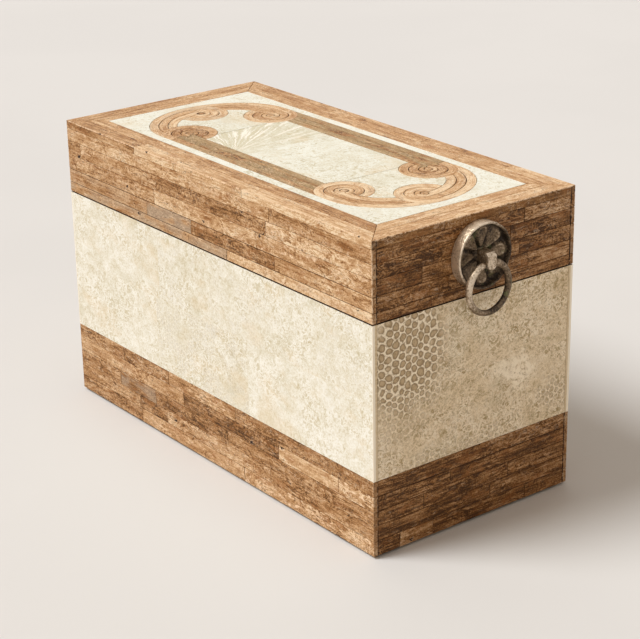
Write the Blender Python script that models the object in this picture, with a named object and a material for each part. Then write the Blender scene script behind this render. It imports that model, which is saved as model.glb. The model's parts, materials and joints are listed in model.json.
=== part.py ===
"""A keepsake box faced with stone: a hinged lid with an inlaid top, and a ring pull on each end.

Metres, +Z up. The long side runs along X, the front faces -Y, and the origin is under the middle of the
whole box, hinges included. Thin sheets of stone are glued on a core of wooden boards.
"""

import math

import bmesh
import bpy
from mathutils import Matrix, Vector

# Driving sizes of the box
LENGTH = 0.356
DEPTH = 0.171
HEIGHT = 0.216
LID_HEIGHT = 0.0545
LOWER_BAND_HEIGHT = 0.0527

# Gap left between pieces that are glued or that touch, and gap seen between the lid and the base
GLUE_GAP = 0.0003
SEAM_GAP = 0.0008
RIM_GAP = 0.0004

# Stone sheets
SIDE_STONE = 0.0036
TOP_STONE = 0.0055

# Wooden core
BOARD = 0.008
FLOOR_BOARD = 0.006
TOP_BOARD = 0.006

# Soft parts
FELT = 0.0015
FELT_INSET = 0.004
LINING = 0.001
LINING_BELOW_RIM = 0.001

# Inlay of the lid top
BORDER_WIDTH = 0.0225
SURROUND_END_MARGIN = 0.0085
SURROUND_SIDE_MARGIN = 0.007
SCROLL_WIDTH = 0.020
END_ARC_LENGTH = 0.049
VOLUTE_SETBACK = 0.009
ARC_STEPS = 12
VOLUTE_STEPS = 36

# Hinges
HINGE_SPACING = 0.210
HINGE_LENGTH = 0.030
HINGE_REACH = 0.010
LEAF = 0.003
KNUCKLE_RADIUS = 0.0024
CENTRE_KNUCKLE = 0.012
PIN_RADIUS = 0.0011
RUNNING_GAP = 0.0003
LEAF_GAP = 0.0003
LID_OPENING = math.radians(95)
ROUND_STEPS = 20

# Hinge screws
SCREW_SPACING = 0.018
SCREW_LINE = 0.0072
SCREW_LENGTH = 0.008
SCREW_RADIUS = 0.0009
SCREW_HEAD_RADIUS = 0.0019
SCREW_HEAD_HEIGHT = 0.0011
SLOT_WIDTH = 0.0005
SLOT_DEPTH = 0.0005

# Ring pulls, with sizes outwards measured from the face of the stone
ROSETTE_RADIUS = 0.0224
ROSETTE_HEIGHT = 0.008
ROSETTE_LIP = 0.0024
ROSETTE_ROUND = 0.0007
DISH_THICKNESS = 0.0022
DISH_CORNER = 0.0040
HUB_RADIUS = 0.0060
HUB_HEIGHT = 0.0032
ROSETTE_STEPS = 40
POST_WIDTH = 0.007
POST_TOP = 0.0038
POST_OUTER = 0.0145
POST_CHAMFER = 0.0022
TONGUE = 0.0070
TONGUE_DROP = 0.0077
PIVOT_OUT = 0.0112
PIVOT_DROP = 0.0038
SHANK_RADIUS = 0.0022
SHANK_OVERLAP = 0.003
NUT_RADIUS = 0.0040
NUT_HEIGHT = 0.0028
NUT_SIDES = 6
NUT_ROOM = 0.0010
NUT_RECESS = 0.0042
SHANK_PROUD = 0.0004
WIRE_RADIUS = 0.0025
RING_RADIUS = 0.0168
NECK_RADIUS = 0.0013
NECK_SHOULDER = 0.0008
SHOULDER_LENGTH = 0.0010
RING_STEPS = 36
WIRE_STEPS = 10
SIDES_OF_BOX = (("left", -1), ("right", 1))

# Run of a cutter past the piece that it cuts, and the edge angle up to which a surface is shaded smooth
OVERRUN = 0.002
ROUND_ANGLE = math.radians(35)

# Finishes: colour, roughness and metallic value
BROWN_STONE = ((0.46, 0.27, 0.13), 0.35, 0.0)
PALE_STONE = ((0.80, 0.74, 0.58), 0.35, 0.0)
CORE_WOOD = ((0.42, 0.27, 0.14), 0.6, 0.0)
LINING_CLOTH = ((0.10, 0.05, 0.03), 0.95, 0.0)
FELT_CLOTH = ((0.05, 0.08, 0.05), 0.95, 0.0)
BRASS = ((0.60, 0.42, 0.16), 0.35, 1.0)
OLD_BRASS = ((0.36, 0.29, 0.20), 0.5, 1.0)
STEEL = ((0.55, 0.55, 0.55), 0.4, 1.0)


# Places worked out from the sizes

def stop_reach(depth):
    """How far behind the hinge's axis the slope of a leaf's tail lies, this far above or below the seam.

    The slopes of the two leaves meet, but for the running gap, when the lid stands open.
    """
    half_angle = LID_OPENING / 2
    half_gap = RUNNING_GAP / 2
    along = (depth - half_gap * math.cos(half_angle)) / math.sin(half_angle)
    return along * math.cos(half_angle) - half_gap * math.sin(half_angle)


HALF_LENGTH = LENGTH / 2
HALF_DEPTH = DEPTH / 2
MIDDLE_Y = -max(stop_reach(LEAF), KNUCKLE_RADIUS) / 2
FRONT_Y = MIDDLE_Y - HALF_DEPTH
BACK_Y = MIDDLE_Y + HALF_DEPTH
SEAM_Z = HEIGHT - LID_HEIGHT
STONE_BOTTOM = FELT + GLUE_GAP
BASE_STONE_TOP = SEAM_Z - SEAM_GAP / 2
LID_STONE_BOTTOM = SEAM_Z + SEAM_GAP / 2
LID_STONE_TOP = HEIGHT - TOP_STONE - GLUE_GAP
BASE_RIM = SEAM_Z - RIM_GAP / 2
LID_RIM = SEAM_Z + RIM_GAP / 2
CORE_INSET = SIDE_STONE + GLUE_GAP
INNER_INSET = CORE_INSET + BOARD
TOP_BOARD_BOTTOM = LID_STONE_TOP - TOP_BOARD
FLOOR_TOP = STONE_BOTTOM + FLOOR_BOARD


def remove_all():
    """Empties the scene."""
    for obj in list(bpy.data.objects):
        bpy.data.objects.remove(obj, do_unlink=True)


def material(name, finish):
    """A Principled material with this colour, roughness and metallic value, made once."""
    made = bpy.data.materials.get(name)
    if made:
        return made
    colour, roughness, metallic = finish
    made = bpy.data.materials.new(name)
    made.use_nodes = True
    shader = made.node_tree.nodes["Principled BSDF"]
    shader.inputs["Base Color"].default_value = (*colour, 1)
    shader.inputs["Roughness"].default_value = roughness
    shader.inputs["Metallic"].default_value = metallic
    return made


FINISHES = {
    "brown_stone": BROWN_STONE,
    "pale_stone": PALE_STONE,
    "core_wood": CORE_WOOD,
    "lining_cloth": LINING_CLOTH,
    "felt_cloth": FELT_CLOTH,
    "brass": BRASS,
    "old_brass": OLD_BRASS,
    "steel": STEEL,
}


def add(name, mesh, finish, location=(0, 0, 0), parent=None):
    """Puts a mesh in the scene as one named piece."""
    obj = bpy.data.objects.new(name, mesh)
    bpy.context.scene.collection.objects.link(obj)
    if not mesh.materials:
        mesh.materials.append(material(finish, FINISHES[finish]))
    obj.location = location
    if parent:
        obj.parent = parent
        obj.matrix_parent_inverse = Matrix.Translation(-parent.location)
    return obj


def pivot(name, location, parent=None):
    """An empty on a joint's axis."""
    empty = bpy.data.objects.new(name, None)
    bpy.context.scene.collection.objects.link(empty)
    empty.location = location
    if parent:
        empty.parent = parent
        empty.matrix_parent_inverse = Matrix.Translation(-parent.location)
    return empty


def finished(name, shape, smooth_angle=None):
    """The mesh of a bmesh, with its faces turned outwards."""
    bmesh.ops.recalc_face_normals(shape, faces=shape.faces)
    mesh = bpy.data.meshes.new(name)
    shape.to_mesh(mesh)
    shape.free()
    if smooth_angle:
        mesh.shade_smooth()
        mesh.set_sharp_from_angle(angle=smooth_angle)
    return mesh


def block_mesh(name, low, high):
    """A box between two corners."""
    shape = bmesh.new()
    size = Vector(high) - Vector(low)
    middle = (Vector(high) + Vector(low)) / 2
    place = Matrix.Translation(middle) @ Matrix.Diagonal((*size, 1))
    bmesh.ops.create_cube(shape, size=1, matrix=place)
    return finished(name, shape)


def plate_mesh(name, outline, axis, low, high, smooth_angle=None):
    """An outline of (a, b) points, extruded along an axis from low to high.

    Along X the points are (y, z), along Y they are (x, z), and along Z they are (x, y).
    """
    places = {
        "X": lambda a, b, c: (c, a, b),
        "Y": lambda a, b, c: (a, c, b),
        "Z": lambda a, b, c: (a, b, c),
    }
    shape = bmesh.new()
    rows = []
    for level in (low, high):
        rows.append([shape.verts.new(places[axis](a, b, level)) for a, b in outline])
    shape.faces.new(rows[0])
    shape.faces.new(rows[1])
    count = len(outline)
    for i in range(count):
        j = (i + 1) % count
        shape.faces.new((rows[0][i], rows[0][j], rows[1][j], rows[1][i]))
    return finished(name, shape, smooth_angle)


def turned_mesh(name, profile, axis, steps):
    """A closed profile of (radius, height) points, turned round an axis through the origin."""
    shape = bmesh.new()
    turn = {"X": lambda r, a, h: (h, r * math.cos(a), r * math.sin(a)),
            "Z": lambda r, a, h: (r * math.cos(a), r * math.sin(a), h)}[axis]
    rows = []
    for radius, height in profile:
        if radius == 0:
            rows.append([shape.verts.new(turn(0, 0, height))] * steps)
            continue
        angles = [2 * math.pi * i / steps for i in range(steps)]
        rows.append([shape.verts.new(turn(radius, angle, height)) for angle in angles])
    for row, following in zip(rows, rows[1:] + rows[:1]):
        for i in range(steps):
            j = (i + 1) % steps
            corners = list(dict.fromkeys((row[i], row[j], following[j], following[i])))
            if len(corners) > 2:
                shape.faces.new(corners)
    return finished(name, shape, ROUND_ANGLE)


def circle(radius, steps, middle=(0, 0), start=0, turn=2 * math.pi):
    """Points round a circle, or along an arc of it when the turn is less than a whole one."""
    whole = math.isclose(abs(turn), 2 * math.pi)
    points = []
    for i in range(steps if whole else steps + 1):
        angle = start + turn * i / steps
        points.append((middle[0] + radius * math.cos(angle), middle[1] + radius * math.sin(angle)))
    return points


def boolean(obj, mesh, operation="DIFFERENCE", location=(0, 0, 0)):
    """Cuts a mesh out of a piece, or joins it on, with a hidden helper object."""
    helper = add(f"helper_{operation.lower()}_{obj.name}", mesh, "steel", location)
    helper.hide_render = True
    helper.display_type = "WIRE"
    step = obj.modifiers.new(helper.name, "BOOLEAN")
    step.operation = operation
    step.solver = "EXACT"
    step.object = helper
    return helper


# Wooden core and soft parts

def board(name, x_range, y_range, z_range, finish="core_wood", parent=None):
    """A plain board between these limits."""
    low, high = zip(x_range, y_range, z_range)
    return add(name, block_mesh(name, low, high), finish, parent=parent)


def four_sides(inset, thickness):
    """Limits in X and Y of four boards whose outer faces lie this far inside the box's sides.

    The front and back ones run the full length, and the ends fit between them.
    """
    x_out = HALF_LENGTH - inset
    front = FRONT_Y + inset
    back = BACK_Y - inset
    inner_y = (front + thickness + GLUE_GAP, back - thickness - GLUE_GAP)
    return {
        "front": ((-x_out, x_out), (front, front + thickness)),
        "back": ((-x_out, x_out), (back - thickness, back)),
        "left": ((-x_out, -x_out + thickness), inner_y),
        "right": ((x_out - thickness, x_out), inner_y),
    }


def tray(name, inset, z_floor, z_rim, finish, parent=None):
    """A thin lining on the floor or ceiling and the four walls, open at the rim."""
    x_out = HALF_LENGTH - inset
    low = (-x_out, FRONT_Y + inset, min(z_floor, z_rim))
    high = (x_out, BACK_Y - inset, max(z_floor, z_rim))
    obj = add(name, block_mesh(name, low, high), finish, parent=parent)
    facing = 1 if z_rim > z_floor else -1
    room_low = [value + LINING for value in low]
    room_high = [value - LINING for value in high]
    if facing > 0:
        room_high[2] = z_rim + OVERRUN
    else:
        room_low[2] = z_rim - OVERRUN
    boolean(obj, block_mesh("tray_room", room_low, room_high))
    return obj


def make_base():
    """Boards, stone sheets, lining and felt of the base, and its parts by name."""
    parts = {}
    for side, (x_range, y_range) in four_sides(CORE_INSET, BOARD).items():
        parts[side] = board(f"base_{side}_board", x_range, y_range, (STONE_BOTTOM, BASE_RIM))
    inner_x = HALF_LENGTH - INNER_INSET - GLUE_GAP
    inner_y = (FRONT_Y + INNER_INSET + GLUE_GAP, BACK_Y - INNER_INSET - GLUE_GAP)
    board("base_floor_board", (-inner_x, inner_x), inner_y, (STONE_BOTTOM, FLOOR_TOP))
    band_top = STONE_BOTTOM + LOWER_BAND_HEIGHT
    for side, (x_range, y_range) in four_sides(0, SIDE_STONE).items():
        board(f"lower_band_{side}", x_range, y_range, (STONE_BOTTOM, band_top), "brown_stone")
        field = board(
            f"field_{side}", x_range, y_range, (band_top + GLUE_GAP, BASE_STONE_TOP), "pale_stone"
        )
        parts[f"field_{side}"] = field
    lining_inset = INNER_INSET + GLUE_GAP
    tray("base_lining", lining_inset, FLOOR_TOP + GLUE_GAP, BASE_RIM - LINING_BELOW_RIM, "lining_cloth")
    felt_x = HALF_LENGTH - FELT_INSET
    felt_y = (FRONT_Y + FELT_INSET, BACK_Y - FELT_INSET)
    board("base_felt", (-felt_x, felt_x), felt_y, (0, FELT), "felt_cloth")
    return parts


def make_lid(hinge_line):
    """Rails, top board, side stone and lining of the lid, and its parts by name."""
    parts = {}
    rail_z = (LID_RIM, TOP_BOARD_BOTTOM - GLUE_GAP)
    for side, (x_range, y_range) in four_sides(CORE_INSET, BOARD).items():
        parts[side] = board(f"lid_{side}_rail", x_range, y_range, rail_z, parent=hinge_line)
    core_x = HALF_LENGTH - CORE_INSET
    core_y = (FRONT_Y + CORE_INSET, BACK_Y - CORE_INSET)
    board("lid_top_board", (-core_x, core_x), core_y, (TOP_BOARD_BOTTOM, LID_STONE_TOP), parent=hinge_line)
    for side, (x_range, y_range) in four_sides(0, SIDE_STONE).items():
        stone = board(
            f"lid_{side}_strips", x_range, y_range, (LID_STONE_BOTTOM, LID_STONE_TOP), "brown_stone", hinge_line
        )
        parts[f"strips_{side}"] = stone
    ceiling = TOP_BOARD_BOTTOM - GLUE_GAP
    tray("lid_lining", INNER_INSET + GLUE_GAP, ceiling, LID_RIM + LINING_BELOW_RIM, "lining_cloth", hinge_line)
    return parts


# Inlay of the lid top

def oval_quarter(half_x, half_y, arc):
    """Points of a quarter of the oval, from above a volute's centre to the oval's end, at +X and +Y."""
    arc_middle = half_x - arc
    points = [(arc_middle - VOLUTE_SETBACK, half_y)]
    for i in range(ARC_STEPS + 1):
        angle = math.pi / 2 * (1 - i / ARC_STEPS)
        points.append((arc_middle + arc * math.cos(angle), half_y * math.sin(angle)))
    return points


def oval(inset):
    """Half sizes of the oval of scrolls and the length of its end arcs, this far inside its outer edge."""
    half_x = HALF_LENGTH - BORDER_WIDTH - SURROUND_END_MARGIN - inset
    half_y = HALF_DEPTH - BORDER_WIDTH - SURROUND_SIDE_MARGIN - inset
    return half_x, half_y, END_ARC_LENGTH - inset


def whole_oval(inset):
    """The whole outline of the oval, this far inside its outer edge."""
    quarter = oval_quarter(*oval(inset))[1:]
    mirrored = [(x, -y) for x, y in reversed(quarter[:-1])]
    right = quarter + mirrored
    left = [(-x, y) for x, y in reversed(right)]
    return right + left


def in_box(points):
    """Moves plan points from the middle of the lid into the box's frame."""
    return [(x, y + MIDDLE_Y) for x, y in points]


def top_plate(name, outline, finish, parent):
    """A piece of the lid top with this plan."""
    mesh = plate_mesh(name, in_box(outline), "Z", HEIGHT - TOP_STONE, HEIGHT)
    return add(name, mesh, finish, parent=parent)


def tall_plate(outline):
    """A cutter or core with this plan, taller than the stone of the top."""
    return plate_mesh("tall_plate", in_box(outline), "Z", HEIGHT - TOP_STONE - OVERRUN, HEIGHT + OVERRUN)


def volute_places():
    """Centres of the six volutes, clockwise from above, in the order in which their scrolls run."""
    half_x, half_y, arc = oval(SCROLL_WIDTH)
    side_x = half_x - arc - VOLUTE_SETBACK
    return {
        "back": (side_x, half_y),
        "back_right": (half_x, 0),
        "front_right": (side_x, -half_y),
        "front": (-side_x, -half_y),
        "front_left": (-half_x, 0),
        "back_left": (-side_x, half_y),
    }


def scroll_outline(name):
    """Plan of the strip of a scroll, from the centre of the last volute to that of its own."""
    outer = oval_quarter(*oval(0))
    inner = oval_quarter(*oval(SCROLL_WIDTH))
    if name in ("back", "front"):
        half = outer[0][0]
        sign = 1 if name == "back" else -1
        corners = ((-half, outer[0][1]), (half, outer[0][1]), (half, inner[0][1]), (-half, inner[0][1]))
        return [(x, sign * y) for x, y in corners]
    x_sign = 1 if "right" in name else -1
    y_sign = 1 if "back" in name else -1
    return [(x_sign * x, y_sign * y) for x, y in outer + inner[::-1]]


def make_scrolls(parent):
    """Six scrolls, each a strip with a round volute at its end, cut round the volute before it."""
    places = volute_places()
    names = list(places)
    for name in names:
        before = places[names[names.index(name) - 1]]
        scroll = top_plate(f"scroll_{name}", scroll_outline(name), "brown_stone", parent)
        disc = circle(SCROLL_WIDTH, VOLUTE_STEPS, places[name])
        boolean(scroll, plate_mesh("disc", in_box(disc), "Z", HEIGHT - TOP_STONE, HEIGHT), "UNION")
        boolean(scroll, tall_plate(circle(SCROLL_WIDTH + GLUE_GAP, VOLUTE_STEPS, before)))


def make_border(parent):
    """Four border sheets with mitred corners."""
    x_out, y_out = HALF_LENGTH, HALF_DEPTH
    x_in, y_in = x_out - BORDER_WIDTH, y_out - BORDER_WIDTH
    half_gap = GLUE_GAP / math.sqrt(2)
    long_side = [
        (-x_out + half_gap, y_out), (x_out - half_gap, y_out), (x_in - half_gap, y_in), (-x_in + half_gap, y_in)
    ]
    short_side = [
        (x_out, -y_out + half_gap), (x_out, y_out - half_gap), (x_in, y_in - half_gap), (x_in, -y_in + half_gap)
    ]
    for name, outline, sign in (
        ("back", long_side, 1), ("front", long_side, -1), ("right", short_side, 1), ("left", short_side, -1)
    ):
        top_plate(f"top_border_{name}", [(sign * x, sign * y) for x, y in outline], "brown_stone", parent)


def make_top(parent):
    """The whole lid top: border, pale surround, scrolls and pale centre."""
    make_border(parent)
    field_x = HALF_LENGTH - BORDER_WIDTH - GLUE_GAP
    field_y = HALF_DEPTH - BORDER_WIDTH - GLUE_GAP
    field = [(-field_x, -field_y), (field_x, -field_y), (field_x, field_y), (-field_x, field_y)]
    surround = top_plate("top_surround", field, "pale_stone", parent)
    boolean(surround, tall_plate(whole_oval(-GLUE_GAP)))
    make_scrolls(parent)
    centre = top_plate("top_centre_panel", whole_oval(SCROLL_WIDTH + GLUE_GAP), "pale_stone", parent)
    for place in volute_places().values():
        boolean(centre, tall_plate(circle(SCROLL_WIDTH + GLUE_GAP, VOLUTE_STEPS, place)))


# Hinges

def leaf_outline(sign):
    """Side view of a leaf as (y, z) from the hinge's axis: sign is -1 for the base and 1 for the lid.

    Behind the axis its face slopes away, so that it stops against the other leaf when the lid stands open.
    """
    near, far = LEAF_GAP / 2, LEAF
    return [
        (-HINGE_REACH, sign * near),
        (stop_reach(near), sign * near),
        (stop_reach(far), sign * far),
        (-HINGE_REACH, sign * far),
    ]


def rod_mesh(name, radius, low, high, steps=ROUND_STEPS):
    """A round rod along X from low to high, centred on the axis through the origin."""
    return plate_mesh(name, circle(radius, steps), "X", low, high, ROUND_ANGLE)


def screw_profile():
    """Half outline of a countersunk screw as (radius, height), with the top of its head at zero height."""
    return [
        (0, 0),
        (SCREW_HEAD_RADIUS, 0),
        (SCREW_HEAD_RADIUS, -SLOT_DEPTH / 2),
        (SCREW_RADIUS, -SCREW_HEAD_HEIGHT),
        (SCREW_RADIUS, -SCREW_LENGTH),
        (0, -SCREW_LENGTH),
    ]


def screw_hole_profile():
    """Half outline of the hole for a screw, a glue gap larger all round and open at the top."""
    return [
        (0, OVERRUN),
        (SCREW_HEAD_RADIUS + GLUE_GAP, OVERRUN),
        (SCREW_HEAD_RADIUS + GLUE_GAP, 0),
        (SCREW_RADIUS + GLUE_GAP, -SCREW_HEAD_HEIGHT),
        (SCREW_RADIUS + GLUE_GAP, -SCREW_LENGTH - GLUE_GAP),
        (0, -SCREW_LENGTH - GLUE_GAP),
    ]


def flipped(mesh, sign):
    """Turns a mesh over about X when the sign is positive, so that a lid piece mirrors a base piece."""
    if sign > 0:
        mesh.transform(Matrix.Rotation(math.pi, 4, "X"))
    return mesh


def screw_places(hinge_x, sign):
    """Where the heads of a leaf's two screws lie."""
    z = SEAM_Z + sign * LEAF_GAP / 2
    return [(hinge_x + side * SCREW_SPACING / 2, BACK_Y - SCREW_LINE, z) for side in (-1, 1)]


def make_leaf(name, hinge_x, sign, parent):
    """One leaf with its knuckles, cleared for the other leaf's knuckles, the pin and the screws."""
    half = HINGE_LENGTH / 2
    inner = CENTRE_KNUCKLE / 2
    outer_ends = ((-half, -inner - RUNNING_GAP), (inner + RUNNING_GAP, half))
    own, others = (outer_ends, ((-inner, inner),)) if sign < 0 else (((-inner, inner),), outer_ends)
    place = (hinge_x, BACK_Y, SEAM_Z)
    leaf = add(name, plate_mesh(name, leaf_outline(sign), "X", -half, half), "brass", place, parent)
    for low, high in others:
        room = rod_mesh("knuckle_room", KNUCKLE_RADIUS + RUNNING_GAP, low - RUNNING_GAP, high + RUNNING_GAP)
        boolean(leaf, room, location=place)
    for low, high in own:
        boolean(leaf, rod_mesh("knuckle", KNUCKLE_RADIUS, low, high), "UNION", place)
    bore = rod_mesh("bore", PIN_RADIUS + GLUE_GAP, -half - OVERRUN, half + OVERRUN)
    boolean(leaf, bore, location=place)
    for spot in screw_places(hinge_x, sign):
        hole = flipped(turned_mesh("screw_hole", screw_hole_profile(), "Z", ROUND_STEPS), sign)
        boolean(leaf, hole, location=spot)
    return leaf


def let_in_leaf(piece, hinge_x, sign, screws):
    """Cuts the leaf's mortise, and its screw holes, out of a board or a stone sheet."""
    low_x = hinge_x - HINGE_LENGTH / 2 - GLUE_GAP
    high_x = hinge_x + HINGE_LENGTH / 2 + GLUE_GAP
    deep = SEAM_Z + sign * (LEAF + GLUE_GAP)
    past = SEAM_Z - sign * OVERRUN
    low = (low_x, BACK_Y - HINGE_REACH - GLUE_GAP, min(deep, past))
    high = (high_x, BACK_Y + OVERRUN, max(deep, past))
    boolean(piece, block_mesh("mortise", low, high))
    for spot in screw_places(hinge_x, sign) if screws else ():
        hole = rod_mesh("pilot", SCREW_RADIUS + GLUE_GAP, -OVERRUN, SCREW_LENGTH + GLUE_GAP)
        hole.transform(Matrix.Rotation(-sign * math.pi / 2, 4, "Y"))
        boolean(piece, hole, location=spot)


def make_screws(side, member, hinge_x, sign, parent):
    """The two slotted screws of a leaf."""
    for label, spot in zip(("a", "b"), screw_places(hinge_x, sign)):
        name = f"{side}_hinge_{member}_screw_{label}"
        mesh = flipped(turned_mesh(name, screw_profile(), "Z", ROUND_STEPS), sign)
        screw = add(name, mesh, "brass", spot, parent)
        low = (-SCREW_HEAD_RADIUS - OVERRUN, -SLOT_WIDTH / 2, -SLOT_DEPTH)
        high = (SCREW_HEAD_RADIUS + OVERRUN, SLOT_WIDTH / 2, OVERRUN)
        boolean(screw, flipped(block_mesh("slot", low, high), sign), location=spot)


def make_hinges(base, lid, hinge_line):
    """Two stop hinges let into the back of the base and of the lid."""
    for side, direction in SIDES_OF_BOX:
        hinge_x = direction * HINGE_SPACING / 2
        make_leaf(f"{side}_hinge_base_leaf", hinge_x, -1, None)
        make_leaf(f"{side}_hinge_lid_leaf", hinge_x, 1, hinge_line)
        pin = rod_mesh("hinge_pin", PIN_RADIUS, -HINGE_LENGTH / 2, HINGE_LENGTH / 2)
        add(f"{side}_hinge_pin", pin, "brass", (hinge_x, BACK_Y, SEAM_Z))
        make_screws(side, "base", hinge_x, -1, None)
        make_screws(side, "lid", hinge_x, 1, hinge_line)
        let_in_leaf(base["back"], hinge_x, -1, True)
        let_in_leaf(base["field_back"], hinge_x, -1, False)
        let_in_leaf(lid["back"], hinge_x, 1, True)
        let_in_leaf(lid["strips_back"], hinge_x, 1, False)


# Ring pulls, modelled for the +X end and turned half round for the other

def pull_place(direction):
    """The middle of a rosette on the face of the end's stone."""
    return Vector((direction * HALF_LENGTH, MIDDLE_Y, (LID_STONE_BOTTOM + HEIGHT) / 2))


def facing(mesh, direction):
    """Turns a mesh made for the +X end to face this end."""
    if direction < 0:
        mesh.transform(Matrix.Rotation(math.pi, 4, "Z"))
    return mesh


def rosette_profile():
    """Half outline of the dished rosette as (radius, height), with a rounded lip and a flat hub."""
    hole = SHANK_RADIUS + GLUE_GAP
    lip_inner = ROSETTE_RADIUS - ROSETTE_LIP
    return [
        (hole, GLUE_GAP),
        (ROSETTE_RADIUS, GLUE_GAP),
        (ROSETTE_RADIUS, ROSETTE_HEIGHT - ROSETTE_ROUND),
        (ROSETTE_RADIUS - ROSETTE_ROUND, ROSETTE_HEIGHT),
        (lip_inner + ROSETTE_ROUND, ROSETTE_HEIGHT),
        (lip_inner, ROSETTE_HEIGHT - ROSETTE_ROUND),
        (lip_inner - ROSETTE_ROUND, DISH_THICKNESS + DISH_CORNER / 2),
        (lip_inner - DISH_CORNER, DISH_THICKNESS),
        (HUB_RADIUS + ROSETTE_ROUND, DISH_THICKNESS),
        (HUB_RADIUS, HUB_HEIGHT),
        (hole, HUB_HEIGHT),
    ]


def post_mesh():
    """Front view of the post: a flat top and a round lower end, extruded outwards."""
    half = POST_WIDTH / 2
    around = circle(half, ROUND_STEPS // 2, (0, half - TONGUE_DROP), math.pi, math.pi)
    outline = [(half, POST_TOP), (-half, POST_TOP)] + around
    return plate_mesh("post", outline, "X", HUB_HEIGHT + GLUE_GAP, POST_OUTER, ROUND_ANGLE)


def make_post(side, direction, place, parent):
    """The post: a block on the hub with a tongue in front, an eye through it and a shank behind."""
    post = add(f"{side}_pull_post", facing(post_mesh(), direction), "old_brass", place, parent)
    half = POST_WIDTH / 2 + OVERRUN
    under = block_mesh(
        "under_block", (-OVERRUN, -half, -TONGUE_DROP - OVERRUN), (POST_OUTER - TONGUE, half, -POST_TOP)
    )
    boolean(post, facing(under, direction), location=place)
    corner = [
        (POST_OUTER - POST_CHAMFER - OVERRUN, POST_TOP + OVERRUN),
        (POST_OUTER + OVERRUN, POST_TOP + OVERRUN),
        (POST_OUTER + OVERRUN, POST_TOP - POST_CHAMFER - OVERRUN),
    ]
    boolean(post, facing(plate_mesh("corner", corner, "Y", -half, half), direction), location=place)
    eye = plate_mesh(
        "eye", circle(NECK_RADIUS + RUNNING_GAP, ROUND_STEPS, (PIVOT_OUT, -PIVOT_DROP)), "Y", -half, half
    )
    boolean(post, facing(eye, direction), location=place)
    shank = rod_mesh("shank", SHANK_RADIUS, shank_end(), HUB_HEIGHT + SHANK_OVERLAP)
    boolean(post, facing(shank, direction), "UNION", place)


def nut_seat():
    """Where the outer face of the nut lies, from the face of the stone."""
    return -INNER_INSET + NUT_RECESS - GLUE_GAP


def shank_end():
    """Where the shank ends, just past its nut."""
    return nut_seat() - NUT_HEIGHT - SHANK_PROUD


def make_nut(side, direction, place, parent):
    """The hexagon nut in its recess in the rail."""
    seat = nut_seat()
    mesh = plate_mesh("nut", circle(NUT_RADIUS, NUT_SIDES), "X", seat - NUT_HEIGHT, seat)
    nut = add(f"{side}_pull_nut", facing(mesh, direction), "steel", place, parent)
    hole = rod_mesh("nut_hole", SHANK_RADIUS + GLUE_GAP, seat - NUT_HEIGHT - OVERRUN, seat + OVERRUN)
    boolean(nut, facing(hole, direction), location=place)


def ring_path():
    """Centre line of the ring as (y, z, wire radius), from its pivot: a straight neck and a round bow."""
    neck_half = POST_WIDTH / 2 + NECK_SHOULDER
    drop = math.sqrt(RING_RADIUS ** 2 - neck_half ** 2)
    shoulder = math.asin(neck_half / RING_RADIUS)
    points = [(-neck_half, 0, NECK_RADIUS), (0, 0, NECK_RADIUS), (neck_half, 0, NECK_RADIUS)]
    start = shoulder + SHOULDER_LENGTH / RING_RADIUS
    for i in range(RING_STEPS + 1):
        angle = start + (2 * math.pi - 2 * start) * i / RING_STEPS
        points.append((RING_RADIUS * math.sin(angle), RING_RADIUS * math.cos(angle) - drop, WIRE_RADIUS))
    return points


def ring_mesh():
    """A round wire swept along the ring's path, square to it at each point."""
    shape = bmesh.new()
    path = ring_path()
    count = len(path)
    rows = []
    for i, (y, z, radius) in enumerate(path):
        before, after = path[i - 1], path[(i + 1) % count]
        along = Vector((0, after[0] - before[0], after[1] - before[1])).normalized()
        across = along.cross(Vector((1, 0, 0)))
        row = []
        for j in range(WIRE_STEPS):
            angle = 2 * math.pi * j / WIRE_STEPS
            spot = Vector((0, y, z)) + radius * (math.cos(angle) * across + Vector((math.sin(angle), 0, 0)))
            row.append(shape.verts.new(spot))
        rows.append(row)
    for row, following in zip(rows, rows[1:] + rows[:1]):
        for j in range(WIRE_STEPS):
            k = (j + 1) % WIRE_STEPS
            shape.faces.new((row[j], row[k], following[k], following[j]))
    return finished("ring", shape, ROUND_ANGLE)


def make_pull(side, direction, lid, hinge_line):
    """One ring pull, with the holes for its shank and nut in the stone and the rail."""
    place = pull_place(direction)
    rosette = facing(turned_mesh("rosette", rosette_profile(), "X", ROSETTE_STEPS), direction)
    add(f"{side}_pull_rosette", rosette, "old_brass", place, hinge_line)
    make_post(side, direction, place, hinge_line)
    make_nut(side, direction, place, hinge_line)
    eye_place = place + Vector((direction * PIVOT_OUT, 0, -PIVOT_DROP))
    eye = pivot(f"{side}_ring_pivot", eye_place, hinge_line)
    ring = add(f"{side}_pull_ring", ring_mesh(), "old_brass", parent=eye)
    ring.matrix_parent_inverse = Matrix()
    through = rod_mesh("shank_hole", SHANK_RADIUS + GLUE_GAP, -INNER_INSET - OVERRUN, OVERRUN)
    for piece in (lid[f"strips_{side}"], lid[side]):
        boolean(piece, facing(through.copy(), direction), location=place)
    recess = rod_mesh("nut_recess", NUT_RADIUS + NUT_ROOM, -INNER_INSET - OVERRUN, -INNER_INSET + NUT_RECESS)
    boolean(lid[side], facing(recess, direction), location=place)


def main():
    """Builds the box with its lid shut."""
    remove_all()
    hinge_line = pivot("lid_hinge_line", (0, BACK_Y, SEAM_Z))
    base = make_base()
    lid = make_lid(hinge_line)
    make_top(hinge_line)
    make_hinges(base, lid, hinge_line)
    for side, direction in SIDES_OF_BOX:
        make_pull(side, direction, lid, hinge_line)


main()
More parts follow.
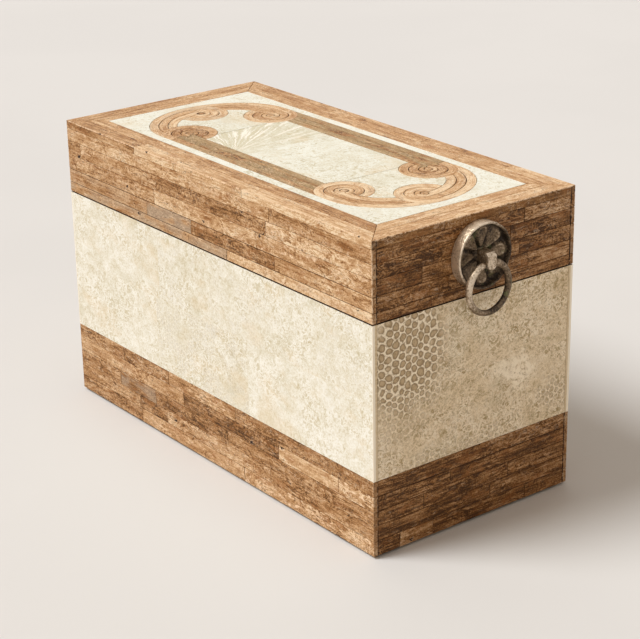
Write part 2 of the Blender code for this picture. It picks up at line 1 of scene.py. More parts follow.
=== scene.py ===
"""Looks of the keepsake box: stone strips and tiles laid singly, cast ring pulls and a velvet lining.

Metres, +Z up, with the box's long side along X and its front facing -Y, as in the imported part. Stone is laid
out in millimetres as a mason measures it: from the left as one faces a side, and down from the lid's top.
"""

import json
import logging
import math
from dataclasses import dataclass, field
from enum import Enum

import bmesh
import bpy
import numpy as np
from mathutils import Matrix, Vector


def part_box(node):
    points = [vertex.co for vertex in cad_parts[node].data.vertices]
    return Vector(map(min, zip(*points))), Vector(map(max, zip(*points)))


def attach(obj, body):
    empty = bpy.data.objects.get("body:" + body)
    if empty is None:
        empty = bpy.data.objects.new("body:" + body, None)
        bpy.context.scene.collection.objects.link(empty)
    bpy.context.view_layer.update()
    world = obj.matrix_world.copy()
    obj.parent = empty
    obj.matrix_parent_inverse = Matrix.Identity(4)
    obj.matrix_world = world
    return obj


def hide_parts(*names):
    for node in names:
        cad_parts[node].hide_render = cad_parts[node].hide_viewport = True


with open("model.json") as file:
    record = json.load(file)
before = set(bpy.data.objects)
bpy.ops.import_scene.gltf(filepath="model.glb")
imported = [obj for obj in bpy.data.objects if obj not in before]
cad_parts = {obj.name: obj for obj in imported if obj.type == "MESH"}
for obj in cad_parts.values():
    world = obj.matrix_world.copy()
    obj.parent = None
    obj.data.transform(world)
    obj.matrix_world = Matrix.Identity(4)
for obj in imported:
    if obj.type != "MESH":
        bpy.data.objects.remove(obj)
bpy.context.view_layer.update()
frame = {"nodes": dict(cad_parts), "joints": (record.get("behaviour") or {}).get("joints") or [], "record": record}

LOG = logging.getLogger("stone_box")
MM = 0.001

# Three real sizes: along, across and into the grain, or along X, Y and Z
Triple = tuple[float, float, float]
Array = np.ndarray
Material = bpy.types.Material
Socket = bpy.types.NodeSocket

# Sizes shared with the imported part
HALF_LENGTH = 0.178
HALF_DEPTH = 0.0855
HEIGHT = 0.216
MIDDLE_Y = -0.0012727
TOP_STONE = 0.0055
SEAM = 0.1615
BORDER_WIDTH = 0.0225
SURROUND_END_MARGIN = 0.0085
SURROUND_SIDE_MARGIN = 0.007
SCROLL_WIDTH = 0.020
END_ARC_LENGTH = 0.049
VOLUTE_SETBACK = 0.009
GLUE_GAP = 0.0003

# How stone is laid: the mortar fills nearly the whole width of a joint, and each stone's grain starts at a
# random place up to the throw each way
CHAMFER = 0.00018
MORTAR_RECESS = 0.0004
MORTAR_WIDTH_SHARE = 0.98
GRAIN_THROW_MM = 400.0


def linear(code: str) -> tuple[float, float, float, float]:
    """Linear colour of an sRGB hex code.

    Args:
        code: Six hex digits after a hash sign.

    Returns:
        Red, green, blue and an alpha of 1.
    """
    parts = [int(code[i:i + 2], 16) / 255 for i in (1, 3, 5)]
    curved = [p / 12.92 if p <= 0.04045 else ((p + 0.055) / 1.055) ** 2.4 for p in parts]
    return curved[0], curved[1], curved[2], 1.0


def add_node(tree: bpy.types.NodeTree, kind: str, inputs: dict | tuple = (), output: int | str = 0,
             **settings: object) -> Socket:
    """Adds a shader node with its settings and links.

    Args:
        tree: The material's or world's node tree.
        kind: The node's type, without its common start.
        inputs: Sockets to link from or values to set, in order or by the input's name or number.
        output: Name or number of the output that is wanted.
        settings: Properties of the node; stops gives a colour ramp its (place, hex colour) pairs.

    Returns:
        The wanted output of the new node.
    """
    made = tree.nodes.new("ShaderNode" + kind)
    for place, (at, code) in enumerate(settings.pop("stops", ())):
        elements = made.color_ramp.elements
        element = elements[place] if place < 2 else elements.new(at)
        element.position = at
        element.color = linear(code)
    for key, value in settings.items():
        setattr(made, key, value)
    for key, value in (inputs if isinstance(inputs, dict) else dict(enumerate(inputs))).items():
        if isinstance(value, Socket):
            tree.links.new(value, made.inputs[key])
        else:
            made.inputs[key].default_value = value
    return made.outputs[output]


TIMES = {"operation": "MULTIPLY"}
TIMES_PLUS = {"operation": "MULTIPLY_ADD"}
LESS = {"operation": "SUBTRACT"}
OVER = {"operation": "DIVIDE"}
SMOOTHLY = {"interpolation_type": "SMOOTHSTEP"}


class Surface:
    """A material under construction. One method adds a node, and the others draw whole patterns with it."""

    def __init__(self, name: str) -> None:
        """Starts a material with a Principled shader."""
        self.material = bpy.data.materials.new(name)
        self.material.use_nodes = True
        self.tree = self.material.node_tree
        self.shader = self.tree.nodes["Principled BSDF"]

    def add(self, kind: str, inputs: dict | tuple = (), output: int | str = 0,
            **settings: object) -> Socket:
        """Adds a node to this material and returns one of its outputs."""
        return add_node(self.tree, kind, inputs, output, **settings)

    def millimetres(self) -> Socket:
        """Place on the object, in millimetres."""
        return self.add("VectorMath", (self.add("TexCoord", output="Object"), (1 / MM,) * 3), **TIMES)

    def clouds(self, place: object, size: float | Triple, detail: float = 3.0, roughness: float = 0.55,
               swirl: float = 0.0) -> Socket:
        """Noise round 0.5 whose bumps have a real size.

        Args:
            place: Where it is read, in millimetres.
            size: Size of its bumps in millimetres, or one size along each axis.
            detail: How many finer layers it has.
            roughness: How strong each finer layer is.
            swirl: How far it is stirred.

        Returns:
            The noise.
        """
        sizes = size if isinstance(size, tuple) else (size,) * 3
        scaled = self.add("VectorMath", (place, sizes), **OVER)
        shape = {"Scale": 1.0, "Detail": detail, "Roughness": roughness, "Distortion": swirl}
        return self.add("TexNoise", {"Vector": scaled, **shape})

    def pushed(self, place: object, size: float, reach: float) -> Socket:
        """A place moved about by clouds, all in millimetres.

        Args:
            place: The place.
            size: Size of the clouds.
            reach: Twice the most that it moves each way.

        Returns:
            The moved place.
        """
        colour = self.clouds(place, size, 3.0).node.outputs["Color"]
        moved = self.add("VectorMath", (colour, (0.5,) * 3), **LESS)
        moved = self.add("VectorMath", (moved, (reach,) * 3), **TIMES)
        return self.add("VectorMath", (place, moved))

    def threads(self, pattern: object, width: float, share: object = 1.0) -> Socket:
        """The share along thin lines where a pattern crosses its middle, and 0 elsewhere."""
        away = self.add("Math", (self.add("Math", (pattern, 0.5), **LESS),), operation="ABSOLUTE")
        return self.add("MapRange", (away, width, width / 6, 0.0, share), **SMOOTHLY)

    def balance(self, value: object, *patterns: tuple) -> Socket:
        """A value with patterns added to it.

        Args:
            value: The value.
            patterns: Pairs of a pattern, which is measured from its middle, and its weight.

        Returns:
            The sum.
        """
        for pattern, weight in patterns:
            value = self.add("Math", (self.add("Math", (pattern, 0.5), **LESS), weight, value), **TIMES_PLUS)
        return value

    def stone(self) -> tuple:
        """Place in the grain, in millimetres, and the three numbers of the stone's look, from the mesh."""
        grain = self.add("Attribute", output="Vector", attribute_name="grain")
        look = self.add("Attribute", output="Vector", attribute_name="stone")
        return grain, *self.add("SeparateXYZ", (look,)).node.outputs

    def from_middle(self) -> Socket:
        """Distances from the middle of the box along X and Y and from the floor up, in millimetres."""
        place = self.add("VectorMath", (self.millimetres(), (0.0, -MIDDLE_Y / MM, 0.0)))
        return self.add("VectorMath", (place,), operation="ABSOLUTE")

    def sawn_sides(self, end_mm: float, *depths_mm: float) -> list:
        """Where the sawn sides of the front's and the back's sheets show on the ends of the box.

        Args:
            end_mm: Distance of the ends from the middle, less a little.
            depths_mm: Distances from the middle, front to back, beyond which a share is wanted.

        Returns:
            For each depth, 1 on the ends beyond it and 0 elsewhere.
        """
        x, y, _ = self.add("SeparateXYZ", (self.from_middle(),)).node.outputs
        on_end = self.add("Math", (x, end_mm), operation="GREATER_THAN")
        beyond = [self.add("Math", (y, depth_mm), operation="GREATER_THAN") for depth_mm in depths_mm]
        return [self.add("Math", (on_end, share), **TIMES) for share in beyond]

    def laid_over(self, colour: object, code: str, pattern: object, low: float = 0.0, high: float = 1.0,
                  share: object = 1.0) -> Socket:
        """A colour with another over it: none of it where a pattern is at low, the share of it at high."""
        amount = self.add("MapRange", (pattern, low, high, 0.0, share), **SMOOTHLY)
        return self.add("Mix", {0: amount, 6: colour, 7: linear(code)}, 2, data_type="RGBA")

    def finish(self, colour: object, roughness: object, relief: object = None, depth: float = 0.0,
               **values: float) -> Material:
        """Joins the patterns to the shader.

        Args:
            colour: Its colour.
            roughness: A number, or (pattern, least, most) where it goes with a pattern.
            relief: Pattern of heights from 0 to 1, or None for a level surface.
            depth: Real height of the relief, in metres.
            values: Other values of the shader by name, with underscores for spaces.

        Returns:
            The finished material.
        """
        if isinstance(roughness, tuple):
            pattern, least, most = roughness
            roughness = self.add("MapRange", (pattern, 0.3, 0.7, least, most))
        joined = {"Base Color": colour, "Roughness": roughness}
        if relief is not None:
            joined["Normal"] = self.add("Bump", {"Height": relief, "Distance": depth, "Strength": 1.0})
        joined.update({name.replace("_", " "): value for name, value in values.items()})
        for name, value in joined.items():
            if isinstance(value, Socket):
                self.tree.links.new(value, self.shader.inputs[name])
            else:
                self.shader.inputs[name].default_value = value
        return self.material


@dataclass(frozen=True)
class Travertine:
    """Honed and waxed brown travertine: each strip cut from another part of the block.

    It reads laminated and mottled along the strip, with crinkled bands like agate's, pale pinkish crystal
    patches, thin dark veins and clusters of open pits. Its methods draw on g, the material that is being
    made, and read grain, the place in the grain in millimetres.
    """

    tones: tuple[str, ...] = ("#472C13", "#775029", "#A4794D", "#C19A71", "#D7B68F", "#EAD4B5")
    red: str = "#97602F"
    vein: str = "#44280F"
    crystal: str = "#EBCFB0"
    pit: str = "#2E1A0E"
    grey: str = "#9C8976"
    cloud_mm: Triple = (26.0, 8.0, 8.0)
    layer_mm: Triple = (24.0, 1.5, 1.5)
    mottle_mm: Triple = (6.5, 3.6, 3.6)
    fine_mm: Triple = (1.2, 0.8, 0.8)
    fibre_mm: Triple = (1.1, 3.8, 3.8)
    fibre_patch_mm: Triple = (19.0, 10.0, 10.0)
    swirl_mm: Triple = (19.0, 7.5, 7.5)
    swirl_patch_mm: Triple = (30.0, 15.0, 15.0)
    swirl_bands: float = 9.0
    stain_mm: Triple = (17.0, 7.0, 7.0)
    vein_mm: Triple = (14.0, 5.0, 5.0)
    growth_mm: Triple = (9.0, 3.6, 3.6)
    curl_mm: Triple = (6.0, 4.2, 4.2)
    pit_mm: float = 3.4
    pit_cluster_mm: Triple = (30.0, 14.0, 14.0)
    pit_edge_mm: Triple = (1.9, 0.9, 0.9)
    corner_mm: Triple = (176.4, 83.9, 214.2)
    bruise_mm: float = 2.6
    chip_mm: Triple = (6.0, 5.0, 2.6)
    sawn_mm: Triple = (177.6, 81.7, 82.5)
    joint_grit_mm: float = 2.6

    def build(self, name: str) -> Material:
        """Makes the material with this name."""
        g = Surface(name)
        grain, tone, grey, pitting = g.stone()
        cloud = g.clouds(grain, self.cloud_mm, 3.0, 0.55, 0.4)
        layer = g.clouds(grain, self.layer_mm, 4.0, 0.62, 0.5)
        mottle = g.clouds(grain, self.mottle_mm, 5.0, 0.7, 1.0)
        fine = g.clouds(grain, self.fine_mm, 2.0, 0.6)
        fibre = g.clouds(grain, self.fibre_mm, 3.0, 0.6, 0.4)
        layered = g.add("Math", (pitting, -1.0, 1.5), **TIMES_PLUS)
        mottled = g.add("Math", (pitting, 0.8, 0.5), **TIMES_PLUS)
        fibrous = g.clouds(grain, self.fibre_patch_mm, 2.0)
        fibrous = g.add("MapRange", (fibrous, 0.5, 0.62, 0.0, mottled), **SMOOTHLY)
        banded = g.clouds(grain, self.swirl_patch_mm, 2.0)
        banded = g.add("MapRange", (banded, 0.44, 0.58, 0.06, 0.38), **SMOOTHLY)
        banded = g.add("Math", (banded, g.add("Math", (pitting, 0.8, 0.6), **TIMES_PLUS)), **TIMES)
        value = g.balance(
            g.add("Math", (tone, 0.8, 0.1), **TIMES_PLUS), (cloud, 0.8), (layer, layered), (mottle, mottled),
            (fine, 0.9), (fibre, fibrous), (self.bands(g, grain), banded))
        steps = len(self.tones) - 1
        stops = tuple((i / steps, code) for i, code in enumerate(self.tones))
        colour = g.add("ValToRGB", (value,), stops=stops)
        stain = g.clouds(grain, self.stain_mm, 3.0, 0.6, 1.0)
        colour = g.laid_over(colour, self.red, stain, 0.52, 0.66, 0.4)
        colour = g.laid_over(colour, self.grey, cloud, 0.36, 0.54, grey)
        pale = self.pale_growth(g, grain, tone, pitting, cloud, mottle)
        colour = g.laid_over(colour, self.crystal, pale)
        dark_here = g.add("MapRange", (cloud, 0.46, 0.6, 0.0, 0.75), **SMOOTHLY)
        vein = g.threads(g.clouds(grain, self.vein_mm, 3.0, 0.5, 1.6), 0.013, dark_here)
        colour = g.laid_over(colour, self.vein, vein)
        pits, rims = self.pits(g, grain, pitting)
        colour = g.laid_over(colour, self.crystal, rims, share=0.3)
        side, past_joint = g.sawn_sides(*self.sawn_mm)
        colour = g.laid_over(colour, self.tones[1], side, share=0.4)
        joint = g.add("Math", (side, past_joint), **LESS)
        grit = g.clouds(g.millimetres(), self.joint_grit_mm, 3.0, 0.6)
        colour = g.laid_over(colour, self.pit, grit, 0.36, 0.5, joint)
        bruises, chips = self.chipped_corners(g)
        colour = g.laid_over(colour, self.crystal, bruises, share=0.8)
        holes = g.add("Math", (pits, chips), operation="MAXIMUM")
        colour = g.laid_over(colour, self.pit, holes)
        relief = g.balance(g.add("Math", (1.0, holes), **LESS), (vein, -0.3), (fine, 0.2), (mottle, 0.25))
        return g.finish(colour, (mottle, 0.46, 0.6), relief, 0.0004, Specular_IOR_Level=0.16)

    def bands(self, g: Surface, grain: object) -> Socket:
        """Crinkled bands side by side: the sine of a slow noise, so they follow its contours.

        Returns:
            The bands, from 0 to 1.
        """
        slow = g.clouds(grain, self.swirl_mm, 3.0, 0.52, 0.8)
        turns = g.add("Math", (slow, self.swirl_bands * 2 * math.pi), **TIMES)
        wave = g.add("Math", (turns,), operation="SINE")
        return g.add("Math", (wave, 0.5, 0.5), **TIMES_PLUS)

    def pale_growth(self, g: Surface, grain: object, tone: object, pitting: object, cloud: object,
                    mottle: object) -> Socket:
        """Pale crystal: ragged patches and thin curls, fewer on dark and on layered strips.

        Args:
            tone: The strip's tone.
            pitting: How pitted the strip is.
            cloud: Large clouds, which the curls keep to.
            mottle: Small clouds, which break the patches up.

        Returns:
            Share of crystal.
        """
        broken = g.add("MapRange", (mottle, 0.42, 0.56, 0.1, 0.9), **SMOOTHLY)
        growth = g.clouds(grain, self.growth_mm, 4.0, 0.62, 1.2)
        patch = g.add("MapRange", (growth, 0.55, 0.63, 0.0, broken), **SMOOTHLY)
        here = g.add("MapRange", (cloud, 0.42, 0.56, 0.15, 0.9), **SMOOTHLY)
        curls = g.threads(g.clouds(grain, self.curl_mm, 3.0, 0.55, 1.3), 0.032, here)
        share = g.add("Math", (pitting, 0.75, 0.3), **TIMES_PLUS)
        share = g.add("Math", (share, g.add("MapRange", (tone, 0.0, 0.5, 0.45, 1.0))), **TIMES)
        whole = g.add("Math", (patch, curls), operation="MAXIMUM")
        return g.add("Math", (whole, share), use_clamp=True, **TIMES)

    def pits(self, g: Surface, grain: object, pitting: object) -> tuple:
        """Open pits of uneven size in clusters, longer along the strip, each with a pale rim of crystal.

        A pit is the middle of a cell that a coin toss picks.

        Args:
            pitting: How pitted the strip is.

        Returns:
            Share of pit, and share of rim.
        """
        size = self.pit_mm
        scaled = g.add("VectorMath", (g.pushed(grain, 1.4, 4.4), (size * 1.7, size, size)), **OVER)
        away = g.add("TexVoronoi", {"Vector": scaled, "Scale": 1.0, "Randomness": 1.0})
        toss, size_toss, _ = g.add("SeparateXYZ", (away.node.outputs["Color"],)).node.outputs
        cluster = g.clouds(grain, self.pit_cluster_mm, 2.0)
        cluster = g.add("MapRange", (cluster, 0.54, 0.66, 0.0, 0.36), **SMOOTHLY)
        limit = g.add("Math", (cluster, pitting), **TIMES)
        picked = g.add("Math", (toss, limit), operation="LESS_THAN")
        uneven = g.add("Math", (size_toss, 2.5), operation="POWER")
        beyond = g.add("Math", (away, g.add("Math", (uneven, 0.3, 0.1), **TIMES_PLUS)), **LESS)
        beyond = g.balance(beyond, (g.clouds(grain, self.pit_edge_mm, 2.0, 0.6), 0.6))
        pit = g.add("MapRange", (beyond, 0.07, 0.0, 0.0, picked), **SMOOTHLY)
        return pit, g.add("MapRange", (beyond, 0.4, 0.05, 0.0, picked), **SMOOTHLY)

    def chipped_corners(self, g: Surface) -> tuple:
        """Pale bruises, few on the base, and small dark chips along the upright corners and the lid's edge.

        How near a corner a place is comes from the second largest of its three overhangs beyond the corner
        place, so it is high only where two faces meet.

        Returns:
            Share of bruise, and share of chip.
        """
        overhang = g.add("VectorMath", (g.from_middle(), self.corner_mm), **LESS)
        x, y, z = g.add("SeparateXYZ", (overhang,)).node.outputs
        pairs = [g.add("Math", pair, operation="MINIMUM") for pair in ((x, y), (y, z), (x, z))]
        near = g.add("Math", (g.add("Math", pairs[:2], operation="MAXIMUM"), pairs[2]), operation="MAXIMUM")
        edge = g.add("MapRange", (near, 0.2, 1.2))
        high = g.add("MapRange", (z, -160.0, -150.0, 0.25, 1.0))
        ragged = g.add("Math", (edge, g.clouds(g.millimetres(), self.bruise_mm, 4.0, 0.7)), **TIMES)
        bruise = g.add("MapRange", (ragged, 0.42, 0.56, 0.0, high), **SMOOTHLY)
        speck = g.clouds(g.millimetres(), self.chip_mm, 3.0, 0.6)
        return bruise, g.add("MapRange", (speck, 0.64, 0.68, 0.0, edge), **SMOOTHLY)


@dataclass(frozen=True)
class FossilStone:
    """Honed pale fossil coral stone: cream, cloudy, with squiggles and, in places, the coral's cells.

    A row of colonies_mm is one colony on the right end: its middle's Y and Z, its reach along each, and the
    most of the honeycomb that shows in it. Its methods draw on g, as the brown stone's do.
    """

    shadow: str = "#C6BB9C"
    body: str = "#E1DDCD"
    light: str = "#F4F4EE"
    warm: str = "#DEC9A4"
    green: str = "#BFB899"
    cell: str = "#AFA081"
    ring: str = "#8C7B5B"
    wall: str = "#EDE3CA"
    # Colour of the painted highlight on the corner edge
    sawn: str = "#FFF6E4"
    sawn_shade: str = "#DDC59D"
    ray: str = "#F8F6EE"
    between_rays: str = "#D3CBB0"
    cloud_mm: float = 19.0
    patch_mm: float = 7.0
    squiggle_mm: float = 4.2
    granule_mm: float = 1.3
    busy_mm: float = 27.0
    fine_mm: Triple = (0.7, 0.7, 2.6)
    warm_mm: Triple = (42.0, 26.0, 26.0)
    green_mm: Triple = (31.0, 23.0, 23.0)
    ray_origin_mm: tuple[float, float] = (-29.0, -40.5)
    ray_reach_mm: tuple[float, float] = (104.0, 62.0)
    rays_per_radian: float = 19.0
    blotch_mm: Triple = (178.0, 38.0, 98.0)
    beside_blotch_mm: Triple = (0.0, -16.0, 4.0)
    blotch_shadow_mm: Triple = (0.0, -18.0, -12.0)
    colonies_mm: tuple[tuple[float, ...], ...] = (
        (-61.0, 134.0, 38.0, 42.0, 1.0),
        (-61.0, 87.0, 22.0, 14.0, 0.36),
        (-15.0, 58.0, 60.0, 7.0, 0.45),
        (70.0, 74.0, 14.0, 12.0, 0.55),
    )
    colony_reach_x_mm: float = 900.0
    sawn_mm: Triple = (177.6, 81.8, 83.6)

    def build(self, name: str) -> Material:
        """Makes the material with this name."""
        g = Surface(name)
        grain, tone, coral, cell_mm = g.stone()
        cloud = g.clouds(grain, self.cloud_mm, 4.0, 0.6, 0.4)
        patch = g.clouds(grain, self.patch_mm, 4.0, 0.65, 0.9)
        squiggle = g.clouds(grain, self.squiggle_mm, 2.5, 0.55, 1.2)
        granule = g.clouds(grain, self.granule_mm, 2.0, 0.65)
        fine = g.clouds(grain, self.fine_mm, 2.0, 0.6)
        busy = g.add("MapRange", (g.clouds(grain, self.busy_mm, 3.0), 0.4, 0.58, 0.25, 1.0), **SMOOTHLY)
        squiggly = g.add("Math", (busy, 1.7), **TIMES)
        value = g.balance(
            tone, (cloud, 1.0), (patch, 1.4), (squiggle, squiggly), (granule, 1.4), (fine, 0.9))
        colour = g.add("ValToRGB", (value,), stops=((0.0, self.shadow), (0.5, self.body), (1.0, self.light)))
        colour = g.laid_over(colour, self.warm, g.clouds(grain, self.warm_mm, 4.0, 0.6), 0.5, 0.68, 0.35)
        colour = g.laid_over(colour, self.green, g.clouds(grain, self.green_mm, 4.0, 0.6), 0.5, 0.68, 0.22)
        worm = g.threads(squiggle, 0.05, busy)
        colour = g.laid_over(colour, self.light, worm, share=0.85)
        hollow = g.add("MapRange", (squiggle, 0.55, 0.66, 0.0, busy), **SMOOTHLY)
        colour = g.laid_over(colour, self.shadow, hollow, share=0.7)
        comb, relief = self.honeycomb(g, grain, cell_mm)
        where = g.add("Math", (coral, 0.27, cloud), **TIMES_PLUS)
        strong = g.add("Math", (coral, 0.0), operation="MAXIMUM")
        strong = g.add("Math", (strong, 1.4), operation="POWER")
        share = g.add("MapRange", (where, 0.52, 0.74, 0.0, strong), **SMOOTHLY)
        share = g.add("Math", (share, self.colonies(g)), operation="MAXIMUM")
        broken = g.add("MapRange", (patch, 0.3, 0.48, 0.4, 0.92), **SMOOTHLY)
        share = g.add("Math", (share, broken), **TIMES)
        colour = g.add("Mix", {0: share, 6: colour, 7: comb}, 2, data_type="RGBA")
        colour = self.blotch(g, colour)
        colour = self.fan(g, colour, coral)
        side, edge = g.sawn_sides(*self.sawn_mm)
        colour = g.laid_over(colour, self.sawn_shade, side, share=0.75)
        # The outer edge of the sawn side, at the corner, is laid over with a pale painted highlight.
        colour = g.laid_over(colour, self.sawn, edge, share=0.95)
        raised = g.balance(g.add("Math", (relief, share), **TIMES), (squiggle, 0.5), (granule, 0.2))
        return g.finish(colour, (patch, 0.4, 0.54), raised, 0.00014, Specular_IOR_Level=0.2)

    def comb_stops(self) -> tuple:
        """Colours from the wall between two cells to the middle of one."""
        return (0.08, self.wall), (0.26, self.ring), (0.36, self.ring), (0.62, self.cell)

    def honeycomb(self, g: Surface, grain: object, cell_mm: object) -> tuple:
        """Honeycomb of the coral: upright rows of rounded taupe cells, each row half a cell off the last.

        The nearest middle of a cell is the nearer of two, one in the even rows and one in the odd ones. Wall,
        ring and core follow the distance to it, and clouds bend the rows and fray the cells.

        Args:
            cell_mm: Size of a cell.

        Returns:
            Its colour, and its height from 0 in the cells to 1 on the walls.
        """
        bent = g.pushed(g.pushed(grain, 15.0, 7.0), 2.6, 1.5)
        place = g.add("VectorMath", (bent, g.add("CombineXYZ", (cell_mm, cell_mm, cell_mm))), **OVER)
        half = (math.sqrt(3) / 2, 0.5, 0.5)
        less_half = tuple(-step for step in half)
        other_rows = g.add("VectorMath", (place, half))
        away = []
        for rows in (place, other_rows):
            across = g.add("VectorMath", (rows, half, less_half), operation="WRAP")
            across = g.add("VectorMath", (across, (1.0, 1.0, 0.0)), **TIMES)
            away.append(g.add("VectorMath", (across,), "Value", operation="LENGTH"))
        away = g.add("Math", away, operation="MINIMUM")
        inside = g.add("Math", (away, -2.0, 1.0), **TIMES_PLUS)
        inside = g.balance(inside, (g.clouds(grain, 1.4, 2.0), 0.3), (g.clouds(grain, 7.0, 2.0), 0.7))
        cell = g.add("ValToRGB", (inside,), stops=self.comb_stops())
        cell = g.laid_over(cell, self.ring, g.clouds(grain, 1.6, 2.0), 0.52, 0.66, 0.6)
        return cell, g.add("MapRange", (inside, 0.28, 0.1), **SMOOTHLY)

    def colonies(self, g: Surface) -> Socket:
        """Colonies of coral on the right end, which fade out all round: ovals with their edges pushed about.

        Returns:
            Share of honeycomb.
        """
        place = g.pushed(g.millimetres(), 11.0, 34.0)
        x = g.add("SeparateXYZ", (g.millimetres(),))
        on_end = g.add("Math", (x, self.sawn_mm[0]), operation="GREATER_THAN")
        whole = 0.0
        for y, z, reach_y, reach_z, most in self.colonies_mm:
            away = g.add("VectorMath", (place, (self.blotch_mm[0], y, z)), **LESS)
            away = g.add("VectorMath", (away, (self.colony_reach_x_mm, reach_y, reach_z)), **OVER)
            length = g.add("VectorMath", (away,), "Value", operation="LENGTH")
            share = g.add("MapRange", (length, 1.25, 0.6, 0.0, most), **SMOOTHLY)
            whole = g.add("Math", (whole, share), operation="MAXIMUM")
        return g.add("Math", (whole, on_end), **TIMES)

    def blotch(self, g: Surface, colour: object) -> Socket:
        """A ragged pale patch on the right end, half round a smooth darker one.

        Args:
            colour: The colour below.

        Returns:
            The colour with the patch on it.
        """
        place = g.millimetres()
        middle, beside, shadow = (
            tuple(Vector(self.blotch_mm) + Vector(offset))
            for offset in ((0.0, 0.0, 0.0), self.beside_blotch_mm, self.blotch_shadow_mm))
        bent, gently = g.pushed(place, 6.5, 28.0), g.pushed(place, 8.0, 8.0)
        dark = g.add("VectorMath", (gently, shadow), "Value", operation="DISTANCE")
        colour = g.laid_over(colour, self.shadow, dark, 16.0, 9.0, 0.16)
        main = g.add("VectorMath", (bent, middle), "Value", operation="DISTANCE")
        side = g.add("VectorMath", (bent, beside), "Value", operation="DISTANCE")
        main = g.add("MapRange", (main, 16.0, 9.0, 0.0, 0.9), **SMOOTHLY)
        side = g.add("MapRange", (side, 9.0, 4.0, 0.0, 0.8), **SMOOTHLY)
        share = g.add("Math", (main, side), operation="MAXIMUM")
        share = g.add("MapRange", (dark, 9.0, 12.0, 0.0, share), **SMOOTHLY)
        return g.laid_over(colour, self.wall, g.clouds(place, 2.8, 3.0, 0.6), 0.36, 0.54, share)

    def fan(self, g: Surface, colour: object, coral: object) -> Socket:
        """Pale rays that spread over one tile of the lid from a point on its front edge.

        A tile whose coral share is below zero has them: stripes of the angle round that point, split again
        further out.

        Args:
            colour: The colour below.
            coral: The tile's coral share.

        Returns:
            The colour with the rays on it.
        """
        from_origin = tuple(-distance for distance in self.ray_origin_mm) + (0.0,)
        place = g.add("VectorMath", (g.pushed(g.millimetres(), 5.0, 3.4), from_origin))
        x, y, _ = g.add("SeparateXYZ", (place,)).node.outputs
        reach = g.add("VectorMath", (g.add("CombineXYZ", (x, y)),), "Value", operation="LENGTH")
        turned = g.add("Math", (y, x), operation="ARCTAN2")
        round_it = g.add("Math", (turned, self.rays_per_radian), **TIMES)
        lookup = g.add("CombineXYZ", (round_it, g.add("Math", (reach, 0.03), **TIMES)))
        stripe = g.clouds(lookup, 1.0, 2.0, 0.6)
        here = g.add("Math", (coral, -0.5), operation="LESS_THAN")
        near = g.add("MapRange", (reach, *self.ray_reach_mm, 0.0, here), **SMOOTHLY)
        near = g.add("Math", (near, g.add("MapRange", (turned, 1.5, 2.3, 0.4, 1.0))), **TIMES)
        between = g.add("Math", (near, 0.7), **TIMES)
        colour = g.laid_over(colour, self.between_rays, stripe, 0.6, 0.42, between)
        return g.laid_over(colour, self.ray, stripe, 0.54, 0.6, near)


@dataclass(frozen=True)
class Mortar:
    """Wax and stone dust rubbed into the joints: matt, dark brown between the strips."""

    colour: str = "#3A2415"
    dust: str = "#6B5238"

    def build(self, name: str) -> Material:
        """Makes the material."""
        g = Surface(name)
        grit = g.clouds(g.millimetres(), 1.1, 2.0)
        colour = g.laid_over(linear(self.colour), self.dust, grit, 0.35, 0.7, 0.4)
        return g.finish(colour, 0.8, grit, 0.0001, Specular_IOR_Level=0.2)


@dataclass(frozen=True)
class OldBrass:
    """Cast brass with a dull grey-brown patina, rubbed pale on its high edges, and painted paler on the sides that
    face the light.
    """

    patina: str = "#66543F"
    body: str = "#8A755C"
    rubbed: str = "#D9C7B0"
    hollow: str = "#2C2015"
    verdigris: str = "#6C6E47"
    grit_mm: float = 1.3

    def build(self) -> Material:
        """Makes the material, which reads from the mesh how high or hollow each place is and its painted light."""
        g = Surface("cast_old_brass")
        wear = g.add("SeparateXYZ", (g.add("Attribute", output="Vector", attribute_name="wear"),))
        place = g.millimetres()
        cloud = g.clouds(place, 6.0, 3.0, 0.6)
        grit = g.clouds(place, self.grit_mm, 3.0, 0.6)
        value = g.balance(wear, (cloud, 1.0), (grit, 1.3))
        stops = ((0.0, self.hollow), (0.3, self.patina), (0.58, self.body), (0.95, self.rubbed))
        colour = g.add("ValToRGB", (value,), stops=stops)
        green = g.add("MapRange", (wear, 0.75, 0.4, 0.1, 0.6), **SMOOTHLY)
        colour = g.laid_over(colour, self.verdigris, g.clouds(place, 9.0, 4.0, 0.65), 0.56, 0.68, green)
        relief = g.balance(grit, (cloud, 1.5))
        shine = g.add("MapRange", (value, 0.2, 0.9, 0.3, 0.7))
        return g.finish(colour, (shine, 0.54, 0.28), relief, 0.0004, Metallic=0.55)


@dataclass(frozen=True)
class SatinBrass:
    """Drawn and brushed brass of the hinges: even, warm and softly reflecting."""

    bright: str = "#BCA06C"
    dull: str = "#8E7548"
    brush_mm: Triple = (14.0, 0.35, 0.35)

    def build(self) -> Material:
        """Makes the material, brushed along X."""
        g = Surface("satin_brass")
        place = g.millimetres()
        brush = g.clouds(place, self.brush_mm, 2.0)
        colour = g.laid_over(linear(self.bright), self.dull, g.clouds(place, 5.0, 3.0, 0.6), 0.4, 0.7)
        return g.finish(colour, (brush, 0.26, 0.4), brush, 0.00003, Metallic=1.0)


@dataclass(frozen=True)
class ZincSteel:
    """Zinc-plated steel of the nuts: pale grey with a slight mottle."""

    light: str = "#B9BBBC"
    dark: str = "#8C8F91"
    spangle_mm: float = 2.2

    def build(self) -> Material:
        """Makes the material."""
        g = Surface("zinc_plated_steel")
        mottle = g.clouds(g.millimetres(), self.spangle_mm)
        colour = g.laid_over(linear(self.light), self.dark, mottle, 0.35, 0.65)
        return g.finish(colour, (mottle, 0.3, 0.45), Metallic=1.0)


